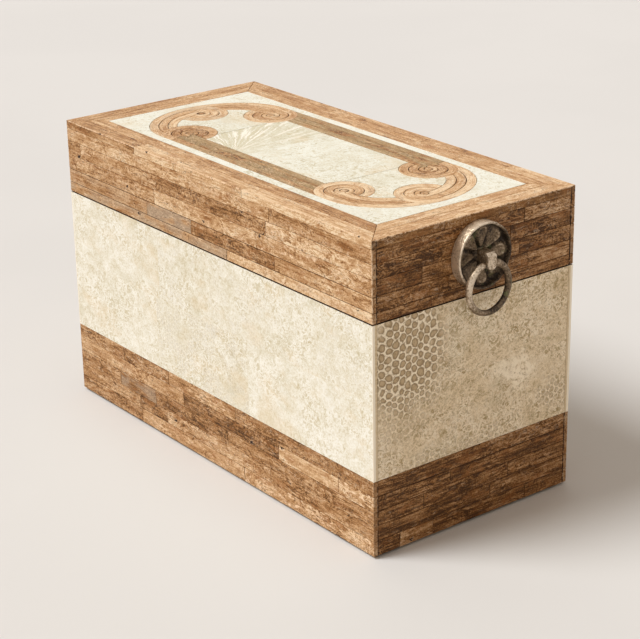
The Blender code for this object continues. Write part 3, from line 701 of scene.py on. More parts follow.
@dataclass(frozen=True)
class StainedWood:
    """Stained hardwood boards of the core, with fine darker pores along the grain."""

    light: str = "#8A5E3A"
    dark: str = "#5C3B22"
    pore: str = "#3A2415"
    ring_mm: float = 5.0
    ring_length: float = 15.0
    pore_mm: tuple[float, float] = (7.0, 0.5)

    def build(self, along: int) -> Material:
        """Makes the material with its grain along axis 0, 1 or 2."""
        g = Surface("stained_hardwood_" + "xyz"[along])
        place = g.millimetres()
        long_ring, (long_pore, pore) = self.ring_mm * self.ring_length, self.pore_mm
        ring_sizes = tuple(long_ring if i == along else self.ring_mm for i in range(3))
        pore_sizes = tuple(long_pore if i == along else pore for i in range(3))
        rings = g.clouds(place, ring_sizes, 3.0, 0.6, 0.6)
        pores = g.clouds(place, pore_sizes, 2.0)
        colour = g.laid_over(linear(self.light), self.dark, rings, 0.35, 0.65)
        colour = g.laid_over(colour, self.pore, pores, 0.58, 0.7, 0.6)
        return g.finish(colour, (rings, 0.5, 0.62), g.add("Math", (1.0, pores), **LESS), 0.00008)


@dataclass(frozen=True)
class Velvet:
    """Short brown velvet glued in as a lining: dark face on, paler at a slant where its pile is lit."""

    pile: str = "#4A2A1C"
    brushed: str = "#6B4330"
    between: str = "#2B160E"
    nap_mm: float = 0.7
    stroke_mm: Triple = (38.0, 24.0, 24.0)

    def build(self) -> Material:
        """Makes the material. Its nap is drawn coarser than real pile, which is too fine to show."""
        g = Surface("cotton_velvet")
        place = g.millimetres()
        nap = g.clouds(place, self.nap_mm, 2.0)
        stroke = g.clouds(place, self.stroke_mm, 3.0, 0.5, 0.8)
        colour = g.laid_over(linear(self.pile), self.brushed, stroke, 0.4, 0.66, 0.5)
        colour = g.laid_over(colour, self.between, nap, 0.35, 0.7, 0.35)
        return g.finish(colour, 0.95, nap, 0.00025, Sheen_Weight=0.6, Sheen_Roughness=0.4)


@dataclass(frozen=True)
class GreenFelt:
    """Pressed wool felt under the base: matt dark green with a fine tangle of fibres."""

    wool: str = "#2C3B2C"
    fibre: str = "#3F5140"
    tangle_mm: float = 0.9

    def build(self) -> Material:
        """Makes the material. Its fibres are drawn coarser than real ones, which are too fine to show."""
        g = Surface("pressed_wool_felt")
        tangle = g.clouds(g.millimetres(), self.tangle_mm, 4.0, 0.7, 1.5)
        colour = g.laid_over(linear(self.wool), self.fibre, tangle, 0.4, 0.6)
        return g.finish(colour, 1.0, tangle, 0.0003, Sheen_Weight=0.3)


class Side(Enum):
    """Upright faces of the box: directions of left to right, up and out, as one faces each of them."""

    FRONT = ((1, 0, 0), (0, 0, 1), (0, -1, 0))
    RIGHT = ((0, 1, 0), (0, 0, 1), (1, 0, 0))
    BACK = ((-1, 0, 0), (0, 0, 1), (0, 1, 0))
    LEFT = ((0, -1, 0), (0, 0, 1), (-1, 0, 0))

    @property
    def axes(self) -> Array:
        """The three directions as rows."""
        return np.array(self.value, float)


@dataclass(frozen=True)
class Stone:
    """How one stone looks.

    Attributes:
        tone: From 0, dark, to 1, pale.
        grey: Share of grey in a brown strip, or of coral cells in a pale tile (-1 for the tile with rays).
        pitting: From 0, layered, to 1, mottled and pitted, for a brown strip. A coral cell's size in
            millimetres for a pale tile.
    """

    tone: float
    grey: float = 0.0
    pitting: float = 0.4


@dataclass
class Shells:
    """Closed shells gathered into one mesh, with each stone's grain and look stored on its points."""

    points: list[Array] = field(default_factory=list)
    faces: list[tuple[int, ...]] = field(default_factory=list)
    slots: list[int] = field(default_factory=list)
    grains: list[Array] = field(default_factory=list)
    looks: list[Array] = field(default_factory=list)
    count: int = 0

    def add(self, points: Array, faces: list, slot: int | list[int] = 0, grain: Array | None = None,
            look: Stone | None = None) -> None:
        """Adds one closed shell, turned outwards.

        Args:
            points: Its corners, N by 3, in metres.
            faces: Its faces as rows of point numbers.
            slot: The number of its material, or one for each face.
            grain: Place of each point along, across and into the grain, in millimetres.
            look: How the stone looks.
        """
        if signed_volume(points, faces) < 0:
            faces = [face[::-1] for face in faces]
        self.faces += [tuple(int(i) + self.count for i in face) for face in faces]
        self.slots += slot if isinstance(slot, list) else [slot] * len(faces)
        self.points.append(points)
        self.grains.append(points / MM if grain is None else grain)
        look = look or Stone(0.5)
        self.looks.append(np.tile((look.tone, look.grey, look.pitting), (len(points), 1)))
        self.count += len(points)

    def make(self, name: str, materials: list[Material],
             smooth: float | None = None) -> bpy.types.Object:
        """Turns the shells into one object at the origin.

        Args:
            name: Name of the piece.
            materials: Its materials, in slot order.
            smooth: Edge angle in degrees up to which faces are shaded smooth, or None for flat faces.

        Returns:
            The object.
        """
        mesh = bpy.data.meshes.new(name)
        mesh.from_pydata(np.concatenate(self.points), [], self.faces)
        for material in materials:
            mesh.materials.append(material)
        mesh.polygons.foreach_set("material_index", self.slots)
        for label, values in (("grain", self.grains), ("stone", self.looks)):
            stored = mesh.attributes.new(label, "FLOAT_VECTOR", "POINT")
            stored.data.foreach_set("vector", np.concatenate(values).astype(np.float32).ravel())
        if smooth is not None:
            mesh.shade_smooth()
            mesh.set_sharp_from_angle(angle=math.radians(smooth))
        return show(name, mesh)


def signed_volume(points: Array, faces: list) -> float:
    """Six times the volume in a shell: the sum of the triple products of each face's fan of triangles.

    Args:
        points: Its corners, N by 3.
        faces: Its faces as rows of point numbers.

    Returns:
        The sum, below zero where the faces point inwards.
    """
    total = 0.0
    for size in {len(face) for face in faces}:
        block = points[np.array([face for face in faces if len(face) == size])]
        first, rest = block[:, :1], block[:, 1:]
        first = np.broadcast_to(first, rest[:, 1:].shape)
        total += np.einsum("nij,nij->", first, np.cross(rest[:, :-1], rest[:, 1:]))
    return float(total)


def show(name: str, mesh: bpy.types.Mesh) -> bpy.types.Object:
    """Puts a mesh in the scene.

    Args:
        name: The object's name.
        mesh: Its mesh, with its place in it.

    Returns:
        The new object, at the origin.
    """
    made = bpy.data.objects.new(name, mesh)
    bpy.context.scene.collection.objects.link(made)
    return made


def place_piece(piece: bpy.types.Object, node: str) -> None:
    """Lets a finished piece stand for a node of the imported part, on that node's body.

    Args:
        piece: The piece.
        node: The node's name.
    """
    body = next(name for name, nodes in frame["record"]["behaviour"]["bodies"].items() if node in nodes)
    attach(piece, body)
    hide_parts(node)
    LOG.info("%s: %d faces on %s", piece.name, len(piece.data.polygons), body)


def inset_outline(outline: Array, distance: float) -> Array:
    """Moves an outline inwards: each corner along the mean of its edges' normals, longer where it is sharp.

    Args:
        outline: Corners anticlockwise, N by 2.
        distance: How far the edges move.

    Returns:
        The moved corners.
    """
    ahead = np.roll(outline, -1, 0) - outline
    ahead /= np.linalg.norm(ahead, axis=1, keepdims=True)
    normal = np.stack((-ahead[:, 1], ahead[:, 0]), 1)
    before = np.roll(normal, 1, 0)
    spread = 1 + (normal * before).sum(1, keepdims=True)
    return outline + distance * (normal + before) / np.maximum(spread, 0.3)


def skin(rings: list) -> tuple[Array, list]:
    """Joins outlines that lie above each other into one closed skin.

    Args:
        rings: Pairs of an outline, N by 2, and its level.

    Returns:
        Points as (a, b, level), and faces: the first outline, the walls ring by ring, and the last outline.
    """
    count = len(rings[0][0])
    points = np.concatenate([np.column_stack((plan, np.full(count, level))) for plan, level in rings])
    here = np.arange(count)
    following = (here + 1) % count
    faces = [tuple(here[::-1])]
    for ring in range(len(rings) - 1):
        base, above = ring * count, (ring + 1) * count
        faces += np.column_stack((base + here, base + following, above + following, above + here)).tolist()
    faces.append(tuple(here + (len(rings) - 1) * count))
    return points, faces


def slab(outline: Array, low: float, high: float, chamfer: float) -> tuple[Array, list]:
    """A flat stone: an outline raised from low to high, its top edge chamfered.

    Args:
        outline: Corners in its plane, N by 2.
        low: Height of its underside.
        high: Height of its face.
        chamfer: Width of the chamfer, or 0.

    Returns:
        Points as (a, b, height) and faces.
    """
    upright = np.column_stack((outline, np.zeros(len(outline))))
    area = np.cross(upright, np.roll(upright, -1, 0))[:, 2].sum()
    outline = outline if area > 0 else outline[::-1]
    rings = [(outline, low), (outline, high - chamfer)]
    if chamfer:
        rings.append((inset_outline(outline, chamfer), high))
    return skin(rings)


def ribbon(lines: Array, low: float, high: float, chamfer: float) -> tuple:
    """A curved flat stone: a chamfered section carried along lines whose points go in rows.

    Args:
        lines: The lines side by side, from one edge to the other, by their points, by 2.
        low: Height of its underside.
        high: Height of its face.
        chamfer: Width of the chamfer.

    Returns:
        Points as (a, b, height), faces, and each point's place along and across the strip in metres.
    """
    first, last = lines[0], lines[-1]
    across = last - first
    width = np.linalg.norm(across, axis=1, keepdims=True)
    step = across / np.maximum(width, 1e-9) * np.minimum(chamfer, width * 0.3)
    edges = [first, first, first + step, *lines[1:-1], last - step, last, last]
    levels = [low, high - chamfer, *[high] * len(lines), high - chamfer, low]
    rows, columns = len(first), len(edges)
    points = np.stack([np.column_stack((e, np.full(rows, level))) for e, level in zip(edges, levels)], 1)
    middle = lines.mean(0)
    along = np.concatenate(([0.0], np.cumsum(np.linalg.norm(np.diff(middle, axis=0), axis=1))))
    share = np.array([0, *np.linspace(0, 1, len(lines) + 2), 1])
    flow = np.stack((np.repeat(along[:, None], columns, 1), width * share), 2)
    index = np.arange(rows * columns).reshape(rows, columns)
    right = np.roll(index, -1, 1)
    faces = np.stack((index[:-1], right[:-1], right[1:], index[1:]), 2).reshape(-1, 4).tolist()
    faces += [tuple(index[0][::-1]), tuple(index[-1])]
    return points.reshape(-1, 3), faces, flow.reshape(-1, 2)


# Slots of a piece of stones, the last for faces painted dark as shade, and the faces of a four-cornered slab that
# are its first and third sides: wall and chamfer of each
STONE_SLOT, MORTAR_SLOT, SHADE_SLOT = range(3)
FIRST_SIDE, THIRD_SIDE = (1, 5), (3, 7)


@dataclass
class StoneSheet:
    """One side's sheet of stones: level courses of strips or tiles, with joints between them.

    Attributes:
        node: The node that it stands for.
        side: The face of the box.
        lines: Heights of the level joints, in millimetres below the top of the lid.
        joints: For each course from the top, its upright joints in millimetres from the left.
        stones: For each course, how its stones look.
        gap: Widths between which the joints vary.
        wander: How far a joint strays from its line.
        seed: Start of the random numbers.
        recess: Depth of the joints.
        chamfer: Width of the stones' chamfer.
        at_seam: How near the seam a stone's edge is that lies on it.
    """

    node: str
    side: Side
    lines: tuple[float, ...]
    joints: tuple[tuple[float, ...], ...]
    stones: tuple[tuple[Stone, ...], ...]
    gap: tuple[float, float] = (0.0002, 0.0006)
    wander: float = 0.0004
    seed: int = 1
    recess: float = MORTAR_RECESS
    chamfer: float = CHAMFER
    at_seam: float = 0.001

    def build(self, stone: Material, mortar: Material, seam_shade: Material,
              slot: str) -> None:
        """Lays the stones and their mortar, and puts the piece in place.

        Edges of stones at the seam between lid and base take the dark seam material: painted shade in the gap.

        Args:
            stone: Material of the stones.
            mortar: Material of the joints.
            seam_shade: Material of the edges at the seam, which paints the shade in the gap.
            slot: Not used.
        """
        rng = np.random.default_rng(self.seed)
        low, high = (np.array(corner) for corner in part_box(self.node))
        axes = self.side.axes
        ends = np.sort(np.stack((axes @ low, axes @ high)), 0)
        (left, bottom, inside), (right, top, outside) = ends
        shells = Shells()
        levels = [top] + [HEIGHT - line * MM for line in self.lines] + [bottom]
        tilt = rng.uniform(-self.wander, self.wander, (len(levels), 2))
        tilt[[0, -1]] = 0
        half = rng.uniform(*self.gap, len(levels)) / 2
        half[[0, -1]] = 0

        def height(level: int, x: float) -> float:
            """Height of a level joint's middle at a place along it."""
            share = (x - left) / (right - left)
            return levels[level] + tilt[level, 0] * (1 - share) + tilt[level, 1] * share

        def lay(corners: list, look: Stone | None = None) -> None:
            """Adds one stone with these corners, or mortar where no look is given."""
            face = outside if look else outside - self.recess
            points, faces = slab(np.array(corners), inside, face, self.chamfer if look else 0.0)
            grain = points / MM + rng.uniform(-GRAIN_THROW_MM, GRAIN_THROW_MM, 3)
            slots = [STONE_SLOT if look else MORTAR_SLOT] * len(faces)
            # Stone edges on the seam are painted dark, as the shade in the gap between lid and base.
            for corner, sides in ((0, FIRST_SIDE), (2, THIRD_SIDE)):
                if look and abs(corners[corner][1] - SEAM) < self.at_seam:
                    for face_number in sides:
                        slots[face_number] = SHADE_SLOT
            shells.add(points @ axes, faces, slots, grain, look)

        def span(course: int, bottoms: tuple, tops: tuple, spare: float = 0.0) -> list:
            """Corners of a piece that fills a course.

            Args:
                course: The course, from the top.
                bottoms: Places of its left and right ends at the bottom.
                tops: The same at the top.
                spare: How much further each end reaches.

            Returns:
                Bottom left, bottom right, top right and top left.
            """
            corners = []
            for level, ends, sign in ((course + 1, bottoms, 1), (course, tops, -1)):
                edge = [height(level, x) + sign * half[level] for x in ends]
                corners.append([(ends[0] - spare, edge[0]), (ends[1] + spare, edge[1])])
            return corners[0] + corners[1][::-1]

        for course in range(len(levels) - 1):
            cuts = [(left, left, 0.0)]
            for mark in self.joints[course]:
                lean = rng.uniform(-self.wander, self.wander)
                cuts.append((left + mark * MM + lean, left + mark * MM - lean, rng.uniform(*self.gap) / 2))
            cuts.append((right, right, 0.0))
            for first, last, look in zip(cuts, cuts[1:], self.stones[course]):
                tops, bottoms = ((first[end] + first[2], last[end] - last[2]) for end in (0, 1))
                lay(span(course, bottoms, tops), look)
            for top_x, bottom_x, gap in cuts[1:-1]:
                lay(span(course, (bottom_x, bottom_x), (top_x, top_x), gap * MORTAR_WIDTH_SHARE))
        inner_left, inner_right = left + MORTAR_RECESS, right - MORTAR_RECESS
        for level in range(1, len(levels) - 1):
            spare = half[level] * MORTAR_WIDTH_SHARE
            start, end = height(level, inner_left), height(level, inner_right)
            lay([(inner_left, start - spare), (inner_right, end - spare),
                 (inner_right, end + spare), (inner_left, start + spare)])
        place_piece(shells.make(self.node + "_stones", [stone, mortar, seam_shade]), self.node)


def strips(*looks: float | tuple[float, ...]) -> tuple[Stone, ...]:
    """Brown strips from their tones, or from (tone, pitting) or (tone, pitting, grey)."""
    rows = [(*look, 0.0)[:3] if isinstance(look, tuple) else (look, Stone.pitting, 0.0) for look in looks]
    return tuple(Stone(tone, grey, pitting) for tone, pitting, grey in rows)


def layers(*tones: float, grey: float = 0.0, pitting: float = 0.12) -> tuple[Stone, ...]:
    """Brown strips with long fine layers, from their tones. All but the last take the share of grey."""
    return tuple(Stone(tone, grey if i < len(tones) - 1 else 0.0, pitting) for i, tone in enumerate(tones))


# A side that the photograph doesn't show: lengths in millimetres, and what its strips may look like
HIDDEN_BACK_MM = 356
HIDDEN_END_MM = 164
END_STRIP_MM = (30, 110)
STRIP_MM = (55, 150)
TONES = (0.22, 0.8)
PITTING = (0.1, 0.6)
GREY_STRIPS_SHARE = 0.12
GREY_SHARE = 0.6


def chance_course(seed: int, length_mm: float, courses: int) -> tuple[tuple, tuple]:
    """Courses of strips laid at random with broken joints, for a side that the photograph doesn't show.

    Args:
        seed: Start of the random numbers.
        length_mm: Length of the side.
        courses: How many courses it has.

    Returns:
        For each course, its upright joints in millimetres, and how its stones look.
    """
    rng = np.random.default_rng(seed)
    joints, stones = [], []
    for course in range(courses):
        marks = []
        place = rng.uniform(*END_STRIP_MM)
        while place < length_mm - END_STRIP_MM[0]:
            marks.append(float(place))
            place += rng.uniform(*STRIP_MM)
        joints.append(tuple(marks))
        looks = []
        for _ in range(len(marks) + 1):
            tone = float(rng.uniform(*TONES))
            grey = GREY_SHARE if rng.random() < GREY_STRIPS_SHARE else 0.0
            looks.append(Stone(tone, grey, float(rng.uniform(*PITTING))))
        stones.append(tuple(looks))
    return tuple(joints), tuple(stones)


# Level joints, in millimetres below the top of the lid
LID_LINES = (15.0, 25.6, 36.4, 47.2)
BAND_LINES = (172.1, 182.6, 193.2, 203.8)
TILE_LINE = (107.0,)


@dataclass
class StoneSides:
    """The stone on the four sides of the lid and the base."""

    brown: Material
    pale: Material
    shaded_end_pale: Material
    dark_wax_and_seam_shade: Material
    pale_mortar: Material

    def build(self) -> None:
        """Lays every side."""
        self.lid_strips()
        self.lower_bands()
        self.pale_fields()

    def lid_strips(self) -> None:
        """Strips on the sides of the lid, the front and right end as the photograph shows them."""
        front = (
            ((251.0,), strips((0.64, 0.5), (0.46, 0.4))),
            ((17.0, 118.0, 247.0), strips(0.5, (0.54, 0.5), (0.32, 0.3), (0.78, 0.95))),
            ((115.0, 236.0), strips((0.46, 0.4), (0.7, 0.5), (0.6, 0.7))),
            ((105.0, 160.0, 256.0), strips((0.54, 0.3, 0.2), (0.64, 0.3, 0.75), 0.3, 0.56)),
            ((202.0, 268.0), strips((0.62, 0.25, 0.5), (0.8, 0.6), (0.84, 0.8))),
        )
        right = (
            ((68.0, 122.0), strips((0.16, 0.3), (0.22, 0.3), (0.36, 0.5))),
            ((52.0, 110.0), strips((0.1, 0.35), (0.16, 0.4), (0.08, 0.5))),
            ((36.0, 118.0), strips((0.08, 0.3), (0.18, 0.35), (0.12, 0.3))),
            ((58.0, 126.0), strips((0.2, 0.45), (0.16, 0.3), (0.32, 0.2))),
            ((44.0, 98.0), strips((0.14, 0.3), (0.18, 0.2), (0.22, 0.15))),
        )
        self.strip_sheets("lid_{}_strips", LID_LINES, front, right, 21, 11)

    def lower_bands(self) -> None:
        """Strips round the foot of the base."""
        front = (
            ((62.0, 122.0, 205.0), strips(0.42, (0.32, 0.8), (0.5, 0.6), 0.3)),
            ((141.0, 255.0, 320.0), strips(0.56, (0.18, 0.5), (0.76, 0.5), (0.6, 1.0))),
            ((56.0, 104.0, 195.0), strips(0.38, (0.36, 0.3, 0.6), (0.24, 0.5), 0.35)),
            ((82.0, 118.0, 245.0), strips(0.44, (0.24, 0.5), (0.5, 0.6), 0.42)),
            ((84.0, 214.0), strips(0.34, (0.6, 0.5), (0.56, 0.9))),
        )
        right = (
            ((92.0,), strips((0.12, 0.12), (0.16, 0.45))),
            ((61.0, 133.0), layers(0.14, 0.1, 0.14)),
            ((38.0, 112.0), layers(0.12, 0.1, 0.14)),
            ((96.0,), layers(0.1, 0.14)),
            ((18.0, 46.0, 128.0),
             strips((0.1, 0.2), (0.46, 0.3), (0.13, 0.1), (0.2, 0.1))),
        )
        self.strip_sheets("lower_band_{}", BAND_LINES, front, right, 41, 31)

    def pale_fields(self) -> None:
        """Two rows of pale tiles on each side of the base."""
        front = (
            ((116.0, 244.0), (Stone(0.6, 0.1, 3.4), Stone(0.58, 0.3, 3.6), Stone(0.58, 0.25, 4.2))),
            ((111.0, 222.0), (Stone(0.6, 0.1, 3.4), Stone(0.56, 0.4, 3.4), Stone(0.64, 0.15, 3.8))),
        )
        right = (
            ((58.5,), (Stone(0.53, 0.3, 6.1), Stone(0.4, 0.25, 3.4))),
            ((66.0,), (Stone(0.48, 0.4, 5.2), Stone(0.46, 0.3, 5.0))),
        )
        back = (
            ((128.0, 240.0), (Stone(0.5, 0.3, 4.0), Stone(0.6, 0.1, 4.0), Stone(0.52, 0.45, 5.0))),
            ((104.0, 236.0), (Stone(0.55, 0.5, 4.4), Stone(0.5, 0.2, 3.6), Stone(0.6, 0.1, 4.0))),
        )
        left = (
            ((96.0,), (Stone(0.5, 0.2, 4.0), Stone(0.45, 0.7, 5.2))),
            ((70.0,), (Stone(0.6, 0.1, 4.0), Stone(0.5, 0.3, 4.4))),
        )
        for node, side, rows, seed, stone in (
            ("field_front", Side.FRONT, front, 51, self.pale),
            ("field_right", Side.RIGHT, right, 52, self.shaded_end_pale),
            ("field_back", Side.BACK, back, 53, self.pale),
            ("field_left", Side.LEFT, left, 54, self.shaded_end_pale),
        ):
            sheet = StoneSheet(
                node, side, TILE_LINE, *zip(*rows), gap=(0.00004, 0.00008), wander=0.0002, seed=seed,
                recess=0.00003, chamfer=0.00004)
            sheet.build(stone, self.pale_mortar, self.dark_wax_and_seam_shade, "pale_stone")

    def strip_sheets(self, names: str, lines: tuple, front: tuple, right: tuple, chance: int,
                     seed: int) -> None:
        """Lays brown strips on all four sides of the lid or the base.

        Args:
            names: The nodes' names, with a place for the side.
            lines: Heights of the level joints, in millimetres below the top of the lid.
            front: For each course of the front, its upright joints and its stones.
            right: The same for the right end.
            chance: Start of the random numbers for the back's courses, and with 1 more for the left's.
            seed: Start of the random numbers for the front, and with 1 more for each next side.
        """
        courses = len(lines) + 1
        back = chance_course(chance, HIDDEN_BACK_MM, courses)
        left = chance_course(chance + 1, HIDDEN_END_MM, courses)
        for number, (side, plan) in enumerate(zip(Side, (zip(*front), zip(*right), back, left))):
            sheet = StoneSheet(names.format(side.name.lower()), side, lines, *plan, seed=seed + number)
            sheet.build(self.brown, self.dark_wax_and_seam_shade, self.dark_wax_and_seam_shade, "brown_stone")


def resample(path: Array, count: int, start: float = 0.0, end: float = 1.0) -> Array:
    """Points spaced evenly along part of a path.

    Args:
        path: Points, N by 2.
        count: How many to return.
        start: Share of its length at which to start.
        end: Share of its length at which to end.

    Returns:
        Points, count by 2.
    """
    run = np.concatenate(([0.0], np.cumsum(np.linalg.norm(np.diff(path, axis=0), axis=1))))
    want = np.linspace(start, end, count) * run[-1]
    return np.column_stack([np.interp(want, run, path[:, k]) for k in range(2)])


@dataclass
class Scroll:
    """One running scroll of the inlay: lanes of stone that follow the oval and wind into a volute.

    Lanes are measured from the oval's outer line inwards. In the volute each keeps its distance from the
    disc's edge and goes clockwise round its centre until it meets the band's own inner edge.

    Attributes:
        name: The volute that it ends in.
        lanes: The stones of its three lanes, from the outer one.
        breaks: For each lane, shares of its length at which it has a joint.
        centre: The stone of its eye.
        seed: Start of the random numbers for the grain.
        joint: Width of its joints, in metres.
        eye: Radius of the round stone in the volute, in metres.
        steps: How many points draw a lane along the band, and again round the volute.
        fine_steps: How many points a line has while it is cut.
    """

    name: str
    lanes: tuple[tuple[Stone, ...], ...] = ()
    breaks: tuple[tuple[float, ...], ...] = ((), (), ())
    centre: Stone = Stone(0.6)
    seed: int = 1
    joint: float = 0.00055
    eye: float = 0.0026
    eye_corners: int = 28
    steps: int = 72
    fine_steps: int = 2000
    bar_chamfer: float = 0.00005
    grain_throw_mm: float = 300.0

    def turned(self) -> bool:
        """Whether it is the half-turned copy of one of the three basic scrolls."""
        return self.name in ("front", "front_left", "back_left")

    def basic(self) -> str:
        """The basic scroll that it is a copy of."""
        copies = {"front": "back", "front_left": "back_right", "back_left": "front_right"}
        return copies.get(self.name, self.name)

    def line(self, inset: float) -> Array:
        """The band's line: a straight piece, and a quarter of the oval's end.

        Args:
            inset: Distance inside the band's outer edge.

        Returns:
            Its points, from the volute before it to its own.
        """
        half_x = HALF_LENGTH - BORDER_WIDTH - SURROUND_END_MARGIN
        half_y = HALF_DEPTH - BORDER_WIDTH - SURROUND_SIDE_MARGIN - inset
        arc_middle = half_x - END_ARC_LENGTH
        side_x = arc_middle - VOLUTE_SETBACK
        if self.basic() == "back":
            return np.array([(-side_x, half_y), (side_x, half_y)])
        angle = np.linspace(math.pi / 2, 0, 240)
        arc = np.column_stack((arc_middle + (END_ARC_LENGTH - inset) * np.cos(angle), half_y * np.sin(angle)))
        quarter = np.vstack(((side_x, half_y), arc))
        return quarter if self.basic() == "back_right" else quarter[::-1] * (1, -1)

    def edge(self, inset: float) -> tuple[Array, Array]:
        """One edge of a lane, from the disc before it to its tip.

        Args:
            inset: Distance inside the outer line.

        Returns:
            Its points along the band, and its points round the volute.
        """
        inner = self.line(SCROLL_WIDTH)
        before, centre = inner[0], inner[-1]
        path = resample(self.line(inset), self.fine_steps)
        clear = np.linalg.norm(path - before, axis=1) > SCROLL_WIDTH + GLUE_GAP
        path = path[np.argmax(clear):]
        radius = max(SCROLL_WIDTH - inset, self.eye + self.joint)
        if inset > SCROLL_WIDTH - radius + 1e-6:
            path = path[np.linalg.norm(path - centre, axis=1) > radius]
            path = np.vstack((path, self.turn(centre, radius, -math.pi / 2 + self.joint / radius, 0.0, 12)))
        back = resample(inner, self.fine_steps)[::-1]
        reach = np.linalg.norm(back - centre, axis=1)
        meet = back[np.argmax(reach > radius)] - centre
        top = self.line(0)[-1] - centre
        sweep = (math.atan2(top[1], top[0]) - math.atan2(meet[1], meet[0])) % (2 * math.pi)
        end = sweep - self.joint / radius
        return resample(path, self.steps), self.turn(centre, radius, 0.0, end, self.steps)

    def turn(self, centre: Array, radius: float, start: float, end: float, count: int) -> Array:
        """Points clockwise round a volute's centre, between two angles from the line to the outer edge."""
        top = self.line(0)[-1] - centre
        angle = math.atan2(top[1], top[0]) - np.linspace(start, end, count)
        return centre + radius * np.column_stack((np.cos(angle), np.sin(angle)))

    def lane(self, outer: float, inner: float, count: int = 5) -> Array:
        """Lines side by side from one edge of a lane to the other.

        Args:
            outer: Inset of its outer edge.
            inner: Inset of its inner edge.
            count: How many lines.

        Returns:
            The lines, each from the disc before it to its tip.
        """
        lines = []
        for inset in np.linspace(outer, inner, count):
            band, volute = self.edge(inset)
            lines.append(np.vstack((band, volute[1:])))
        return np.array(lines)

    def cut(self, lines: Array, first: float, last: float) -> Array:
        """A part of a lane.

        Args:
            lines: The lane's lines.
            first: Share of its middle line's length at which the part starts.
            last: Share at which it ends.

        Returns:
            The lines of the part.
        """
        middle = lines[len(lines) // 2]
        run = np.concatenate(([0.0], np.cumsum(np.linalg.norm(np.diff(middle, axis=0), axis=1))))
        want = np.linspace(first, last, max(2, int((last - first) * len(run)))) * run[-1]
        cut_lines = [np.column_stack([np.interp(want, run, line[:, k]) for k in range(2)]) for line in lines]
        return np.array(cut_lines)

    def placed(self, points: Array) -> Array:
        """Plan points in the box's frame, half-turned for a copy."""
        return (-points if self.turned() else points) + (0, MIDDLE_Y)

    def build(self, stone: Material, mortar: Material) -> None:
        """Lays the lanes, their mortar and the eye.

        Args:
            stone: Material of the stones.
            mortar: Material of the joints.
        """
        rng = np.random.default_rng(self.seed)
        shells = Shells()
        bottom, top = HEIGHT - TOP_STONE, HEIGHT
        count = len(self.lanes)
        width = SCROLL_WIDTH / count
        spare = self.joint * MORTAR_WIDTH_SHARE / 2
        throw = self.grain_throw_mm
        for lane in range(count):
            start = lane * width + (self.joint / 2 if lane else 0)
            end = (lane + 1) * width - (self.joint / 2 if lane < count - 1 else 0)
            lines = self.lane(start, end)
            length = np.linalg.norm(np.diff(lines[2], axis=0), axis=1).sum()
            half = self.joint / 2 / length
            marks = [0.0, *self.breaks[lane], 1.0]
            for look, first, last in zip(self.lanes[lane], marks, marks[1:]):
                part = self.cut(lines, first + half * (first > 0), last - half * (last < 1))
                points, faces, flow = ribbon(self.placed(part), bottom, top, CHAMFER)
                grain = np.column_stack((flow, points[:, 2])) / MM + rng.uniform(-throw, throw, 3)
                shells.add(points, faces, STONE_SLOT, grain, look)
            bars = [self.cut(lines, mark - half, mark + half) for mark in marks[1:-1]]
            if lane:
                bars.append(self.lane(lane * width - spare, lane * width + spare, 2))
            for bar in bars:
                self.lay_mortar(shells, bar)
        centre = self.line(SCROLL_WIDTH)[-1]
        corners = self.eye_corners + 1
        # The ring of mortar stops just short of its own start, so its two ends don't cross
        almost_round = 2 * math.pi - 0.002
        radii = (self.eye, self.eye + self.joint * MORTAR_WIDTH_SHARE)
        ring = [self.turn(centre, radius, 0, almost_round, corners) for radius in radii]
        self.lay_mortar(shells, np.array(ring))
        eye = self.placed(self.turn(centre, self.eye, 0, 2 * math.pi, corners)[:-1])
        points, faces = slab(eye, bottom, top, CHAMFER)
        shells.add(points, faces, STONE_SLOT, points / MM + rng.uniform(-throw, throw, 3), self.centre)
        piece = shells.make(f"scroll_{self.name}_stones", [stone, mortar])
        place_piece(piece, f"scroll_{self.name}")

    def lay_mortar(self, shells: Shells, lines: Array) -> None:
        """Adds one bar of mortar between lines of the plan."""
        top = HEIGHT - MORTAR_RECESS
        points, faces, _ = ribbon(self.placed(lines), HEIGHT - TOP_STONE, top, self.bar_chamfer)
        shells.add(points, faces, MORTAR_SLOT)


